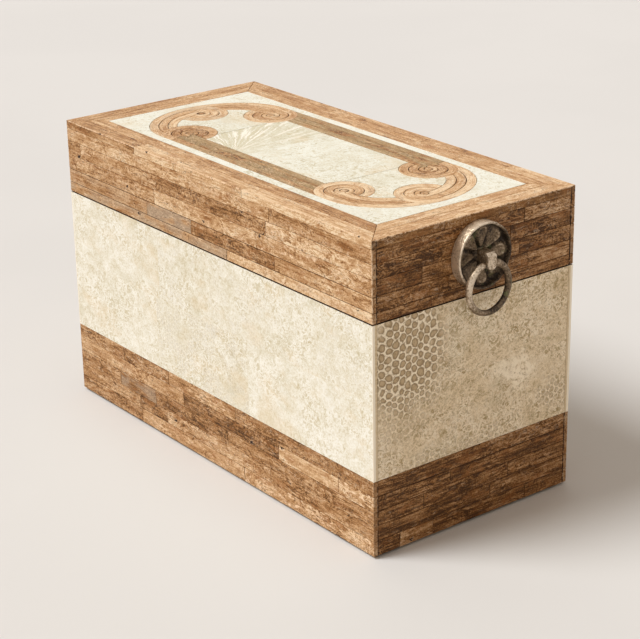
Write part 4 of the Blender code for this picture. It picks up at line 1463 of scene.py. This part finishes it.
@dataclass
class LidTop:
    """The inlay of the lid: a mitred border, a pale surround, six scrolls and a pale centre."""

    brown: Material
    olive: Material
    sawn: Material
    pale: Material
    dark_wax_and_seam_shade: Material
    joint: float = 0.0004
    mitre_gap: float = 0.00008
    lean: float = 0.0006
    side_tile_reach: float = 0.062
    surround_gap: float = 0.00008
    centre_gap: float = 0.00003
    centre_joints: tuple[float, ...] = (-0.073, -0.018, 0.016, 0.073)
    tile_chamfer: float = CHAMFER / 5

    def build(self) -> None:
        """Lays the whole top."""
        self.border()
        self.surround()
        self.centre()
        whole, long_bands = ((), (), ()), ((0.3, 0.655), (0.76,), (0.88,))
        plans = (
            ("back", (layers(0.54, 0.5, 0.68, grey=0.55), layers(0.44, 0.5, grey=0.6, pitting=0.4),
                      layers(0.56, 0.62, grey=0.55)), long_bands, Stone(0.5)),
            ("back_right", (layers(1.0), layers(0.74, 0.8), layers(0.94)), ((), (0.5,), ()), Stone(0.45)),
            ("front_right", (layers(1.0), layers(0.64), layers(0.88)), whole, Stone(0.7)),
            ("front", (layers(0.5, 0.6, 0.64, grey=0.5, pitting=0.4),
                       layers(0.38, 0.42, grey=0.6, pitting=0.7),
                       layers(0.56, 0.56, grey=0.55)), long_bands, Stone(0.5)),
            ("front_left", ((Stone(1.0, 0.35, 0.6),), layers(0.78), layers(0.94)), whole, Stone(0.45)),
            ("back_left", (layers(0.88), layers(0.62), layers(0.82)), whole, Stone(0.7)),
        )
        for seed, (name, lanes, breaks, centre) in enumerate(plans, 71):
            stone = self.olive if name in ("front", "back") else self.brown
            Scroll(name, lanes, breaks, centre, seed).build(stone, self.dark_wax_and_seam_shade)

    def border(self) -> None:
        """Two strips along each edge, with mitred corners and a few joints, their sides at the ends painted dark
        as shade.

        For each strip there are its joints, in millimetres from the left as one faces it, and its stones.
        """
        front = (
            ((92.0, 141.0, 221.0), layers(0.5, 0.92, 0.76, 0.9)),
            ((152.0, 262.0), layers(0.62, 0.56, 0.46)),
        )
        right = (
            ((58.0, 117.0), layers(0.7, 0.82, 0.74, pitting=0.3)),
            ((84.0,), layers(0.86, 0.8, pitting=0.35)),
        )
        back = (
            ((58.0, 142.0, 246.0), layers(0.86, 0.62, 0.68, 0.58)),
            ((96.0, 232.0), layers(0.74, 0.62, 0.66)),
        )
        left = (((64.0,), layers(0.66, 0.58)), ((104.0,), layers(0.72, 0.62)))
        plans = (("front", 0.52, front), ("right", 0.56, right), ("back", 0.52, back), ("left", 0.52, left))
        for turns, (name, split_share, courses) in enumerate(plans):
            self.border_side(name, turns, split_share, courses, 61 + turns)

    def border_side(self, name: str, turns: int, split_share: float, courses: tuple, seed: int) -> None:
        """One side of the border, laid as if along the front and turned into place.

        Args:
            name: The side.
            turns: Quarter turns from the front.
            split_share: The outer strip's share of the width.
            courses: For each strip, its joints in millimetres from the left, and how its stones look.
            seed: Start of the random numbers.
        """
        rng = np.random.default_rng(seed)
        shells = Shells()
        bottom, top = HEIGHT - TOP_STONE, HEIGHT
        half_long, half_wide = (HALF_DEPTH, HALF_LENGTH) if turns % 2 else (HALF_LENGTH, HALF_DEPTH)
        cosine, sine = round(math.cos(turns * math.pi / 2)), round(math.sin(turns * math.pi / 2))
        turn = np.array(((cosine, sine), (-sine, cosine)))
        mitre_gap = GLUE_GAP / 2 + self.mitre_gap
        split = BORDER_WIDTH * split_share
        gap = self.joint / 2
        spare = gap * MORTAR_WIDTH_SHARE
        depths = ((0.0, split - gap), (split + gap, BORDER_WIDTH))

        def lay(near: float, far: float, left: tuple, right: tuple, look: Stone | None = None) -> None:
            """Adds one stone, or mortar where no look is given.

            Args:
                near: Depth of its outer side, from the edge.
                far: Depth of its inner side.
                left: Places of its left end at both.
                right: Places of its right end at both.
                look: How the stone looks.
            """
            corners = np.array([(left[0], -half_wide + near), (right[0], -half_wide + near),
                                (right[1], -half_wide + far), (left[1], -half_wide + far)])
            level = top if look else top - MORTAR_RECESS
            points, faces = slab(corners, bottom, level, CHAMFER if look else 0.0)
            slots = [STONE_SLOT if look else MORTAR_SLOT] * len(faces)
            # The outer sides of the end strips take the darker copy of the stone: painted shade.
            if near == 0.0 and turns % 2 and look:
                for face_number in FIRST_SIDE:
                    slots[face_number] = SHADE_SLOT
            grain = points / MM + rng.uniform(-GRAIN_THROW_MM, GRAIN_THROW_MM, 3)
            plan = points[:, :2] @ turn + (0, MIDDLE_Y)
            shells.add(np.column_stack((plan, points[:, 2])), faces, slots, grain, look)

        for (near, far), (marks, stones) in zip(depths, courses):
            cuts = [(-half_long + near + mitre_gap, -half_long + far + mitre_gap)]
            for mark in marks:
                lean = rng.uniform(-self.lean, self.lean)
                cuts.append((-half_long + mark * MM + lean, -half_long + mark * MM - lean))
            cuts.append((half_long - near - mitre_gap, half_long - far - mitre_gap))
            for number, (look, first, last) in enumerate(zip(stones, cuts, cuts[1:])):
                left = tuple(x + (gap if number else 0) for x in first)
                right = tuple(x - (gap if number < len(stones) - 1 else 0) for x in last)
                lay(near, far, left, right, look)
            for cut in cuts[1:-1]:
                lay(near, far, tuple(x - spare for x in cut), tuple(x + spare for x in cut))
        end = half_long - split - self.lean
        lay(split - spare, split + spare, (-end, -end), (end, end))
        piece = shells.make(f"top_border_{name}_stones", [self.brown, self.dark_wax_and_seam_shade, self.sawn])
        place_piece(piece, f"top_border_{name}")

    def tile(self, shells: Shells, outline: Array, look: Stone, rng: np.random.Generator) -> None:
        """Adds one pale tile with this plan, measured from the middle of the lid."""
        points, faces = slab(outline + (0, MIDDLE_Y), HEIGHT - TOP_STONE, HEIGHT, self.tile_chamfer)
        grain = points / MM + rng.uniform(-GRAIN_THROW_MM, GRAIN_THROW_MM, 3)
        shells.add(points, faces, STONE_SLOT, grain, look)

    def surround(self) -> None:
        """Six pale tiles between the border and the oval: two along the sides and one at each corner."""
        rng = np.random.default_rng(81)
        shells = Shells()
        x_out = HALF_LENGTH - BORDER_WIDTH - GLUE_GAP
        y_out = HALF_DEPTH - BORDER_WIDTH - GLUE_GAP
        gap, side_x = self.surround_gap, self.side_tile_reach
        oval = Scroll("back_right").line(-GLUE_GAP)
        looks = ((Stone(0.9, 0.1, 4.0), Stone(0.92, 0.2, 4.2)), (Stone(0.92, 0.1, 4.0), Stone(0.9, 0.3, 4.0)))
        for i, sign_x in enumerate((-1, 1)):
            for j, sign_y in enumerate((1, -1)):
                inner = oval[::-1]
                corner = np.vstack((((side_x + gap, y_out), (x_out, y_out), (x_out, gap), (inner[0][0], gap)),
                                    inner[1:], ((side_x + gap, inner[-1][1]),)))
                self.tile(shells, corner * (sign_x, sign_y), looks[i][j], rng)
        for sign_y, tone in ((1, 1.0), (-1, 0.96)):
            inner_y = oval[0][1]
            x = side_x - gap
            side = np.array([(-x, inner_y), (x, inner_y), (x, y_out), (-x, y_out)])
            self.tile(shells, side * (1, sign_y), Stone(tone, 0.05, 4.0), rng)
        place_piece(shells.make("top_surround_tiles", [self.pale]), "top_surround")

    def centre(self) -> None:
        """Pale tiles inside the oval: three between the side volutes, and one at each end cut round them."""
        rng = np.random.default_rng(82)
        shells = Shells()
        gap = self.centre_gap
        cut = SCROLL_WIDTH + GLUE_GAP
        end = Scroll("back_right")
        inner = end.line(cut)
        half_y = float(inner[0][1])
        side_centre, end_centre = end.line(SCROLL_WIDTH)[0], end.line(SCROLL_WIDTH)[-1]
        joints = self.centre_joints
        looks = (Stone(0.6, -1.0, 4.0), Stone(0.8, 0.08, 4.0), Stone(0.66, 0.12, 4.0))
        for left, right, look in zip(joints, joints[1:], looks):
            edges = []
            for x in (left + gap, right - gap):
                if abs(x) < side_centre[0] - cut:
                    edges.append(np.array([(x, half_y)]))
                    continue
                start = math.acos((side_centre[0] - abs(x)) / cut)
                angle = np.linspace(start, math.asin((side_centre[1] - half_y) / cut), 9)
                arc = side_centre - cut * np.column_stack((np.cos(angle), np.sin(angle)))
                edges.append(arc * (np.sign(x), 1))
            top = np.vstack((edges[0], edges[1][::-1]))
            self.tile(shells, np.vstack((top, top[::-1] * (1, -1))), look, rng)
        angle = np.linspace(0, 2 * math.pi, 145)
        below = angle < math.pi
        round_side = side_centre - cut * np.column_stack((np.cos(angle), np.sin(angle)))
        round_end = end_centre + cut * np.column_stack((-np.cos(angle), np.sin(angle)))
        # Between the two volutes the tile follows the oval's inner line, where neither of them covers it
        notch = resample(inner, 4000)
        for centre in (side_centre, end_centre):
            notch = notch[np.linalg.norm(notch - centre, axis=1) > cut]
        notch = notch[notch[:, 0] > side_centre[0]]
        lower = below & (round_side[:, 0] > joints[-1] + gap) & (round_side[:, 1] < notch[0][1] - GLUE_GAP)
        upper = below & (round_end[:, 0] < notch[-1][0] - GLUE_GAP) & (round_end[:, 1] < notch[-1][1])
        half = np.vstack((round_side[lower], resample(notch, 24), round_end[upper][::-1]))
        outline = np.vstack((half, half[::-1][1:] * (1, -1)))
        self.tile(shells, outline, Stone(0.62, 0.1, 4.0), rng)
        self.tile(shells, outline * (-1, 1), Stone(0.68, 0.3, 3.6), rng)
        place_piece(shells.make("top_centre_tiles", [self.pale]), "top_centre_panel")


@dataclass
class RingPull:
    """A cast rosette with scooped petals, a post and a hanging ring, for one end of the box.

    Attributes:
        side: Left or right.
        direction: -1 or 1 along X.
        lip: Width of the rosette's rim, whose edges are round with lip_round.
        dish: Thickness of the bowl's middle.
        petal_middle: Distance of a petal's middle from the rosette's.
        neck_play: How far the ring's neck reaches beyond the eye on each side.
        shoulder: Length in which the wire grows from neck to bow.
        mark_pitch: Distance between the marks on the bow.
    """

    side: str
    direction: int
    brass: Material
    radius: float = 0.0222
    wall: float = 0.0078
    lip: float = 0.0016
    lip_round: float = 0.0009
    hub: float = 0.0044
    hub_height: float = 0.0034
    hole: float = 0.0025
    dish: float = 0.0022
    petals: int = 8
    petal_middle: float = 0.0118
    petal_half: float = 0.0066
    petal_ridge: float = 0.0010
    petal_scoop: float = 0.0006
    petal_groove: float = 0.0014
    dent: float = 0.00012
    post_width: float = 0.007
    post_reach: float = 0.0145
    cast_edge: float = 0.001
    wire: float = 0.00245
    neck: float = 0.0013
    neck_play: float = 0.0005
    shoulder: float = 0.0011
    ring_radius: float = 0.0168
    mark_pitch: float = 0.0014

    def build(self) -> None:
        """Makes the three cast pieces."""
        low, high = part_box(f"{self.side}_pull_rosette")
        face = low.x if self.direction > 0 else high.x
        self.middle = Vector((face, (low.y + high.y) / 2, (low.z + high.z) / 2))
        self.make_rosette()
        self.make_post()
        self.make_ring()

    def outwards(self, out: Array, across: Array, up: Array, middle: Vector) -> Array:
        """Points from distances out of the end, across it and up."""
        flat = np.stack((self.direction * out, self.direction * across, up), -1)
        return flat.reshape(-1, 3) + np.array(middle)

    def grid(self, points: Array, wear: Array, rows: int, columns: int, node: str) -> None:
        """Makes a piece from a grid of points that is joined round both ways.

        Args:
            points: The points, row by row.
            wear: How rubbed each point is, with painted light and shade.
            rows: How many rows.
            columns: How many points in a row.
            node: The node that it stands for.
        """
        name = node + "_cast"
        index = np.arange(rows * columns).reshape(rows, columns)
        right, down = np.roll(index, -1, 1), np.roll(index, -1, 0)
        faces = np.stack((index, right, np.roll(right, -1, 0), down), 2).reshape(-1, 4)
        if signed_volume(points, faces.tolist()) < 0:
            faces = faces[:, ::-1]
        mesh = bpy.data.meshes.new(name)
        mesh.from_pydata(points, [], faces.tolist())
        self.dress(mesh, wear)
        place_piece(show(name, mesh), node)

    def dress(self, mesh: bpy.types.Mesh, wear: Array) -> None:
        """Shades a mesh smooth, gives it the brass and stores on its points how rubbed they are, with painted
        light and shade.

        Args:
            mesh: The mesh.
            wear: From 0, hollow and dark, to 1, rubbed pale, for each point, with painted light on the lit side
                and shade on the other.
        """
        mesh.materials.append(self.brass)
        stored = mesh.attributes.new("wear", "FLOAT_VECTOR", "POINT")
        stored.data.foreach_set("vector", np.repeat(wear.astype(np.float32), 3))
        mesh.shade_smooth()
        mesh.set_sharp_from_angle(angle=math.radians(50))

    def profile(self) -> tuple[Array, int]:
        """Half outline of the rosette: back, wall, rounded lip, bowl, hub and hole.

        The bowl rises with the square of its share of the way from hub to lip, and close to the lip with the
        sixteenth power of that share.

        Returns:
            Its points as (radius, height), and how many of them come before the bowl.
        """
        soft, lip_in, brim = self.lip_round, self.radius - self.lip, self.wall - self.lip_round
        turn = np.linspace(0, math.pi / 2, 7)
        back = [(self.hole, 0.0), (self.radius - 0.002, 0.0)]
        wall = np.column_stack((np.full(8, self.radius), np.linspace(0, brim, 8)))
        outer_lip = np.column_stack((self.radius - soft + soft * np.cos(turn), brim + soft * np.sin(turn)))
        inner_lip = np.column_stack((lip_in + soft - soft * np.sin(turn), brim + soft * np.cos(turn)))
        rim = np.vstack((back, wall, outer_lip[1:], inner_lip))
        bowl_r = np.linspace(lip_in, self.hub + 0.0006, 64)
        share = (bowl_r - self.hub) / (lip_in - self.hub)
        rise = self.dish + self.dish * share ** 2 + (brim - 2 * self.dish) * share ** 16
        bowl = np.column_stack((bowl_r, rise))
        top = self.hub_height
        hub = [(self.hub, top - 0.0003), (self.hub - 0.0005, top), (self.hole + 0.0002, top)]
        return np.vstack((rim, bowl[1:], hub)), len(rim)

    def make_rosette(self) -> None:
        """The dished rosette: its profile turned round, with a scoop and a raised rim for each petal.

        A petal is an oval in (across, along) terms round a point on its middle line. Inside it the bowl is
        scooped, and on its edge a soft ridge stands up.
        """
        profile, before_bowl = self.profile()
        steps = 45 * self.petals
        angle = np.linspace(0, 2 * math.pi, steps, endpoint=False)
        radius = np.repeat(profile[:, :1], steps, 1)
        height = np.repeat(profile[:, 1:], steps, 1)
        in_bowl = (np.arange(len(profile)) >= before_bowl)[:, None] & (radius > self.hub) & (height > 0.001)
        sector = 2 * math.pi / self.petals
        offset = ((angle + sector / 2) % sector - sector / 2)[None] * radius
        from_hub, from_lip = radius - self.hub, self.radius - self.lip - radius
        from_middle = radius - self.petal_middle
        half_wide = 0.33 * sector * radius * (0.6 + 0.4 * np.clip(from_hub / 0.009, 0, 1))
        oval = np.sqrt((offset / half_wide) ** 2 + (from_middle / self.petal_half) ** 4)
        ridge = np.exp(-((oval - 0.95) / 0.36) ** 2)
        inside = np.clip(1.25 - oval, 0, 1)
        between = np.clip(oval - 1.05, 0, 1)
        fade = np.clip(from_lip / 0.0015, 0, 1) * np.clip(from_hub / 0.001, 0, 1)
        # No two petals are quite alike, and the rim is dented
        unlike = 1 + 0.2 * np.sin(3 * angle + 1) + 0.15 * np.sin(7 * angle + 4)
        relief = self.petal_ridge * ridge + self.petal_scoop * inside - self.petal_groove * between
        relief = np.where(in_bowl, relief * fade * unlike, 0)
        uneven = self.dent * (np.sin(5 * angle + 1) + np.sin(9 * angle + 2) + 0.7 * np.sin(23 * angle))
        dents = np.where(radius > self.radius - self.lip - 0.0005, uneven, 0)
        # The rim and wall are painted paler on the side that faces the light and darker on the other: painted
        # highlight and shade.
        lit = np.clip(0.4 + np.cos(angle - 2.5), 0, 1)[None]
        outer_round = np.clip(from_middle / 0.005, 0, 1)
        in_wear = 0.1 + (0.24 * inside + (0.14 + 0.2 * outer_round) * ridge) * fade * unlike - 0.1 * between
        wear = np.where(in_bowl, in_wear, 0.2 + 0.14 * (lit > 0.3) + 0.62 * lit)
        wear = np.where(from_hub < 0.0002, 0.3, wear)
        height = np.clip(height + relief + np.where(height > 0.004, dents, 0), 0, self.wall + 0.0001)
        radius = radius + np.clip(dents, -1, 0.0)
        points = self.outwards(height, radius * np.cos(angle), radius * np.sin(angle), self.middle)
        self.grid(points, wear.ravel(), len(profile), steps, f"{self.side}_pull_rosette")

    def make_post(self) -> None:
        """The post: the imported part's own block, merged and given soft cast edges."""
        node = f"{self.side}_pull_post"
        mesh = frame["nodes"][node].data.copy()
        mesh.name = node + "_cast"
        mesh.materials.clear()
        shape = bmesh.new()
        shape.from_mesh(mesh)
        bmesh.ops.remove_doubles(shape, verts=shape.verts, dist=0.00001)
        bmesh.ops.dissolve_limit(shape, angle_limit=math.radians(2), verts=shape.verts, edges=shape.edges)
        bmesh.ops.recalc_face_normals(shape, faces=shape.faces)
        shape.to_mesh(mesh)
        shape.free()
        place = np.zeros(len(mesh.vertices) * 3)
        mesh.vertices.foreach_get("co", place)
        out = np.abs(place.reshape(-1, 3)[:, 0]) - HALF_LENGTH
        self.dress(mesh, np.clip(0.35 + out / self.post_reach * 0.45, 0, 1))
        post = show(node + "_cast", mesh)
        bevel = post.modifiers.new("soft_cast_edges", "BEVEL")
        bevel.width = self.cast_edge
        bevel.segments = 3
        bevel.harden_normals = False
        bevel.limit_method = "ANGLE"
        bevel.angle_limit = math.radians(40)
        place_piece(post, node)

    def make_ring(self) -> None:
        """The ring: a round wire carried along a straight neck and a bow, thin in the neck.

        Along the path the wire's radius rises smoothly from the neck's to the bow's within a short shoulder.
        """
        joint = next(j for j in frame["joints"] if j["child"] == f"{self.side}_ring")
        middle = Vector(joint["pos_m"])
        half = self.post_width / 2 + self.neck_play
        drop = math.sqrt(self.ring_radius ** 2 - half ** 2)
        start = math.asin(half / self.ring_radius)
        turn = np.linspace(start, 2 * math.pi - start, 220)
        bow = np.column_stack((self.ring_radius * np.sin(turn), self.ring_radius * np.cos(turn) - drop))
        neck = np.column_stack((np.linspace(-half, half, 14)[1:-1], np.zeros(12)))
        path = np.vstack((neck, bow))
        from_neck = np.minimum(turn - start, 2 * math.pi - start - turn) * self.ring_radius
        from_neck = np.concatenate((np.zeros(len(neck)), from_neck))
        grown = np.clip((from_neck - 0.0002) / self.shoulder, 0, 1)
        grown = grown * grown * (3 - 2 * grown)
        # The wire is uneven, has a waist past its shoulder, thins towards the foot and bears a few marks
        waist = np.exp(-((from_neck - 0.0035) / 0.0012) ** 2)
        swell = 0.00008 * np.sin(np.linspace(0, 31, len(path))) - 0.0001 * waist
        thinned = 0.2 * np.clip(from_neck / (math.pi * self.ring_radius), 0, 1)
        marked = np.concatenate((np.zeros(len(neck)), np.exp(-((turn - 5.2) / 0.35) ** 2)))
        marks = np.sin(from_neck * 2 * math.pi / self.mark_pitch)
        swell = swell + 0.00005 * marked * marks
        radius = (self.neck + (self.wire - self.neck) * grown) * (1 - thinned) + swell * (grown > 0.9)
        along = np.roll(path, -1, 0) - np.roll(path, 1, 0)
        along /= np.linalg.norm(along, axis=1, keepdims=True)
        normal = np.column_stack((-along[:, 1], along[:, 0]))
        angle = np.linspace(0, 2 * math.pi, 28, endpoint=False)
        across = path[:, None, 0] + radius[:, None] * np.cos(angle) * normal[:, None, 0]
        up = path[:, None, 1] + radius[:, None] * np.cos(angle) * normal[:, None, 1]
        out = radius[:, None] * np.sin(angle)[None]
        # Painted highlight on the ring's left and painted shade at its foot; the face turned out is paler with
        # wear, and the marks darker.
        side = np.clip(-path[:, 0] / self.ring_radius, -1, 1)[:, None]
        low = np.clip(-path[:, 1] / self.ring_radius - 0.6, 0, 1.2)[:, None]
        lines = (marked * (marks < -0.3))[:, None]
        turned_out = 0.14 * np.sin(angle)[None]
        wear = 0.38 + turned_out + 0.36 * np.clip(side, 0, 1) + 0.08 * side - 0.24 * low - 0.1 * lines
        points = self.outwards(out, across, up, middle)
        self.grid(points, wear.ravel(), len(path), len(angle), f"{self.side}_pull_ring")


def rounded_rectangle(half_x: float, half_y: float, corner: float, steps: int = 8) -> Array:
    """A rectangle with round corners, centred on the origin: a quarter circle, turned and moved to each.

    Args:
        half_x: Half its length.
        half_y: Half its width.
        corner: Radius of the corners.
        steps: How many points each corner has.

    Returns:
        Points anticlockwise, N by 2.
    """
    angle = np.linspace(0, math.pi / 2, steps)
    quarter = corner * np.column_stack((np.cos(angle), np.sin(angle)))
    parts = []
    for turns, (sign_x, sign_y) in enumerate(((1, 1), (-1, 1), (-1, -1), (1, -1))):
        cosine, sine = math.cos(turns * math.pi / 2), math.sin(turns * math.pi / 2)
        turned = quarter @ np.array(((cosine, sine), (-sine, cosine)))
        parts.append(turned + (sign_x * (half_x - corner), sign_y * (half_y - corner)))
    return np.vstack(parts)


def inset_plan(low: Vector, high: Vector, inset: float, corner: float) -> Array:
    """The plan of a box as an outline with round corners.

    Args:
        low: Lowest corner of the box.
        high: Highest corner of the box.
        inset: Distance inside its sides.
        corner: Radius of the corners.

    Returns:
        Points anticlockwise, N by 2.
    """
    plan = rounded_rectangle((high.x - low.x) / 2 - inset, (high.y - low.y) / 2 - inset, corner)
    return plan + ((low.x + high.x) / 2, (low.y + high.y) / 2)


@dataclass
class SoftParts:
    """The velvet linings of the base and the lid, and the felt under the base."""

    velvet: Material
    felt: Material
    cloth: float = 0.001
    outer_corner: float = 0.001
    inner_corner: float = 0.003
    corner_growth: float = 0.0008
    felt_corner: float = 0.003

    def build(self) -> None:
        """Makes the three pieces."""
        self.lining("base_lining", opens_up=True)
        self.lining("lid_lining", opens_up=False)
        self.felt_pad()

    def stack(self, name: str, rings: list, material: Material, node: str, slot: str) -> None:
        """Joins rings into one closed skin and puts the piece in place.

        Args:
            name: Name of the piece.
            rings: Pairs of an outline and its height.
            material: Its material.
            node: The node that it stands for.
            slot: Not used.
        """
        shells = Shells()
        shells.add(*skin(rings))
        place_piece(shells.make(name, [material], smooth=40), node)

    def lining(self, node: str, opens_up: bool) -> None:
        """A tray of cloth: up its outside, over a rolled rim, down its inside and round into the floor.

        Args:
            node: The node that it stands for.
            opens_up: Whether its mouth is at the top, as in the base.
        """
        low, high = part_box(node)
        floor, rim = (low.z, high.z) if opens_up else (high.z, low.z)
        up = 1 if opens_up else -1

        def ring(inset: float, level: float, corner: float) -> tuple[Array, float]:
            """One ring of the skin, from its distance inside the outside, height off the floor and corner."""
            return inset_plan(low, high, inset, corner), floor + up * level

        tall = abs(rim - floor)
        roll = self.cloth / 2
        rings = [ring(0, 0, self.outer_corner), ring(0, tall - roll, self.outer_corner)]
        for angle in np.linspace(0.3, math.pi - 0.3, 6):
            over = tall - roll + roll * math.sin(angle)
            rings.append(ring(roll - roll * math.cos(angle), over, self.outer_corner + roll))
        rings.append(ring(self.cloth, tall - roll, self.outer_corner + self.cloth))
        bend = self.inner_corner
        for angle in np.linspace(0, math.pi / 2, 7):
            inset = self.cloth + bend - bend * math.cos(angle)
            rings.append(ring(inset, self.cloth + bend - bend * math.sin(angle), bend + self.corner_growth))
        self.stack(node + "_velvet", rings, self.velvet, node, "lining_cloth")

    def felt_pad(self) -> None:
        """The felt: a flat pad with softly rounded edges."""
        low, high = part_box("base_felt")
        half = (high.z - low.z) / 2
        rings = []
        for angle in np.linspace(-math.pi / 2, math.pi / 2, 9):
            plan = inset_plan(low, high, half - half * math.cos(angle), self.felt_corner)
            rings.append((plan, low.z + half + half * math.sin(angle)))
        self.stack("base_felt_pad", rings, self.felt, "base_felt", "felt_cloth")


@dataclass
class Carcass:
    """The nodes that stay as packed: boards, hinges, screws and nuts, each with its own finish."""

    def build(self) -> None:
        """Dresses every node that no finished piece stands for."""
        along_x, along_y = StainedWood().build(0), StainedWood().build(1)
        brass, zinc = SatinBrass().build(), ZincSteel().build()
        for name, node in frame["nodes"].items():
            if name.endswith(("_board", "_rail")):
                finish = along_y if "left" in name or "right" in name else along_x
            elif "hinge" in name:
                finish = brass
            elif name.endswith("_nut"):
                finish = zinc
            else:
                continue
            node.data.materials.clear()
            node.data.materials.append(finish)
            LOG.info("%s: %s", name, finish.name)


@dataclass
class Studio:
    """Camera, lights, sky and floor, which aren't part of the box."""

    lens_mm: float = 107.65
    sensor_mm: float = 36.0
    camera_place: Triple = (1.0199, -0.7704, 0.5956)
    forward: Triple = (-0.73868, 0.56458, -0.36823)
    right: Triple = (0.61249, 0.79029, -0.01698)
    floor_colour: str = "#D9DCE1"
    floor_shade: str = "#D7DADF"
    floor_reach: float = 30.0
    floor_cloud_mm: float = 400.0
    fill: float = 0.45
    fill_colour: str = "#FFE8CE"
    key_level: float = 0.885
    key_towards: Triple = (-0.28, -0.52, 0.77)
    key_width_degrees: float = 27.0
    key_colour: str = "#FFFBF4"

    def build(self) -> None:
        """Makes the whole set."""
        self.camera()
        self.key()
        self.sky()
        self.floor()
        bpy.context.scene.view_settings.view_transform = "Standard"

    def camera(self) -> None:
        """The camera at the photograph's viewing angle."""
        data = bpy.data.cameras.new("camera")
        data.lens = self.lens_mm
        data.sensor_width = self.sensor_mm
        data.sensor_fit = "HORIZONTAL"
        data.clip_start = 0.01
        camera = bpy.data.objects.new("camera", data)
        bpy.context.scene.collection.objects.link(camera)
        forward, right = Vector(self.forward).normalized(), Vector(self.right).normalized()
        up = right.cross(forward)
        turn = Matrix((right, up, -forward)).transposed()
        camera.matrix_world = Matrix.Translation(self.camera_place) @ turn.to_4x4()
        bpy.context.scene.camera = camera

    def key(self) -> None:
        """A wide soft lamp far above the front left. Its level is the light that a white card returns."""
        data = bpy.data.lights.new("key", "SUN")
        data.angle = math.radians(self.key_width_degrees)
        data.energy = self.key_level * math.pi
        data.color = linear(self.key_colour)[:3]
        lamp = bpy.data.objects.new("key", data)
        bpy.context.scene.collection.objects.link(lamp)
        lamp.rotation_euler = Vector(self.key_towards).to_track_quat("Z", "Y").to_euler()

    def sky(self) -> None:
        """An even, slightly warm sky for light, which looks white to the camera and in reflections."""
        world = bpy.data.worlds.new("studio")
        world.use_nodes = True
        bpy.context.scene.world = world
        tree = world.node_tree
        rays = add_node(tree, "LightPath").node.outputs
        seen = add_node(tree, "Math", (rays["Is Camera Ray"], rays["Is Glossy Ray"]), operation="MAXIMUM")
        seen = add_node(tree, "Math", (seen, rays["Is Transmission Ray"]), operation="MAXIMUM")
        links = {0: seen, 6: linear(self.fill_colour), 7: linear("#FFFFFF")}
        colour = add_node(tree, "Mix", links, 2, data_type="RGBA")
        strength = add_node(tree, "MapRange", {0: seen, 3: self.fill, 4: 1.0})
        sky = tree.nodes["Background"]
        tree.links.new(colour, sky.inputs["Color"])
        tree.links.new(strength, sky.inputs["Strength"])

    def floor(self) -> None:
        """A plain pale floor under the box."""
        g = Surface("studio_floor")
        clouds = g.clouds(g.millimetres(), self.floor_cloud_mm)
        paint = g.laid_over(linear(self.floor_colour), self.floor_shade, clouds, 0.4, 0.6)
        mesh = bpy.data.meshes.new("floor")
        reach = self.floor_reach
        mesh.from_pydata([(-reach, -reach, 0), (reach, -reach, 0), (reach, reach, 0), (-reach, reach, 0)], [],
                         [(0, 1, 2, 3)])
        mesh.materials.append(g.finish(paint, 0.7))
        show("floor", mesh)


def write_sizes() -> None:
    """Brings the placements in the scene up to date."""
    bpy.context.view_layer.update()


def main() -> None:
    """Builds the studio and dresses the box, piece by piece."""
    logging.basicConfig(level=logging.INFO, format="%(message)s")
    Studio().build()
    brown = Travertine().build("honed_brown_travertine")
    olive = Travertine(grey="#948561").build("olive_brown_travertine")
    pale = FossilStone().build("honed_fossil_coral_stone")
    # The ends take a warmer, darker copy of the pale stone: its colours hold painted warm shade as well as the
    # stone's own tint.
    shaded_end_pale = FossilStone("#AB9469", "#EAD6B5", "#FBEFDA", cell="#C2AA86", ring="#947E5C", wall="#FFF2DA")
    # The dark joint wax also paints the shade on the stone edges at the seam.
    dark_wax_and_seam_shade = Mortar().build("dark_joint_wax")
    pale_mortar = Mortar("#DDD2B8", "#CFC3A6").build("pale_joint_wax")
    # A darker copy of the brown stone paints the shade on the ends' sides of the lid's border.
    shaded_side_tones = ("#2E1C0C", "#4A3018", "#684626", "#80592F", "#9A7044", "#B08A5E")
    sawn = Travertine(shaded_side_tones).build("sawn_brown_travertine")
    Carcass().build()
    SoftParts(Velvet().build(), GreenFelt().build()).build()
    StoneSides(brown, pale, shaded_end_pale.build("warm_fossil_coral_stone"), dark_wax_and_seam_shade, pale_mortar).build()
    top_pale = FossilStone("#BDB597", "#DCDBCB", "#EDF2ED", between_rays="#CAC3A4")
    LidTop(brown, olive, sawn, top_pale.build("top_fossil_coral_stone"), dark_wax_and_seam_shade).build()
    old_brass = OldBrass().build()
    for side, direction in (("left", -1), ("right", 1)):
        RingPull(side, direction, old_brass).build()
    write_sizes()


if __name__ == "__main__":
    main()
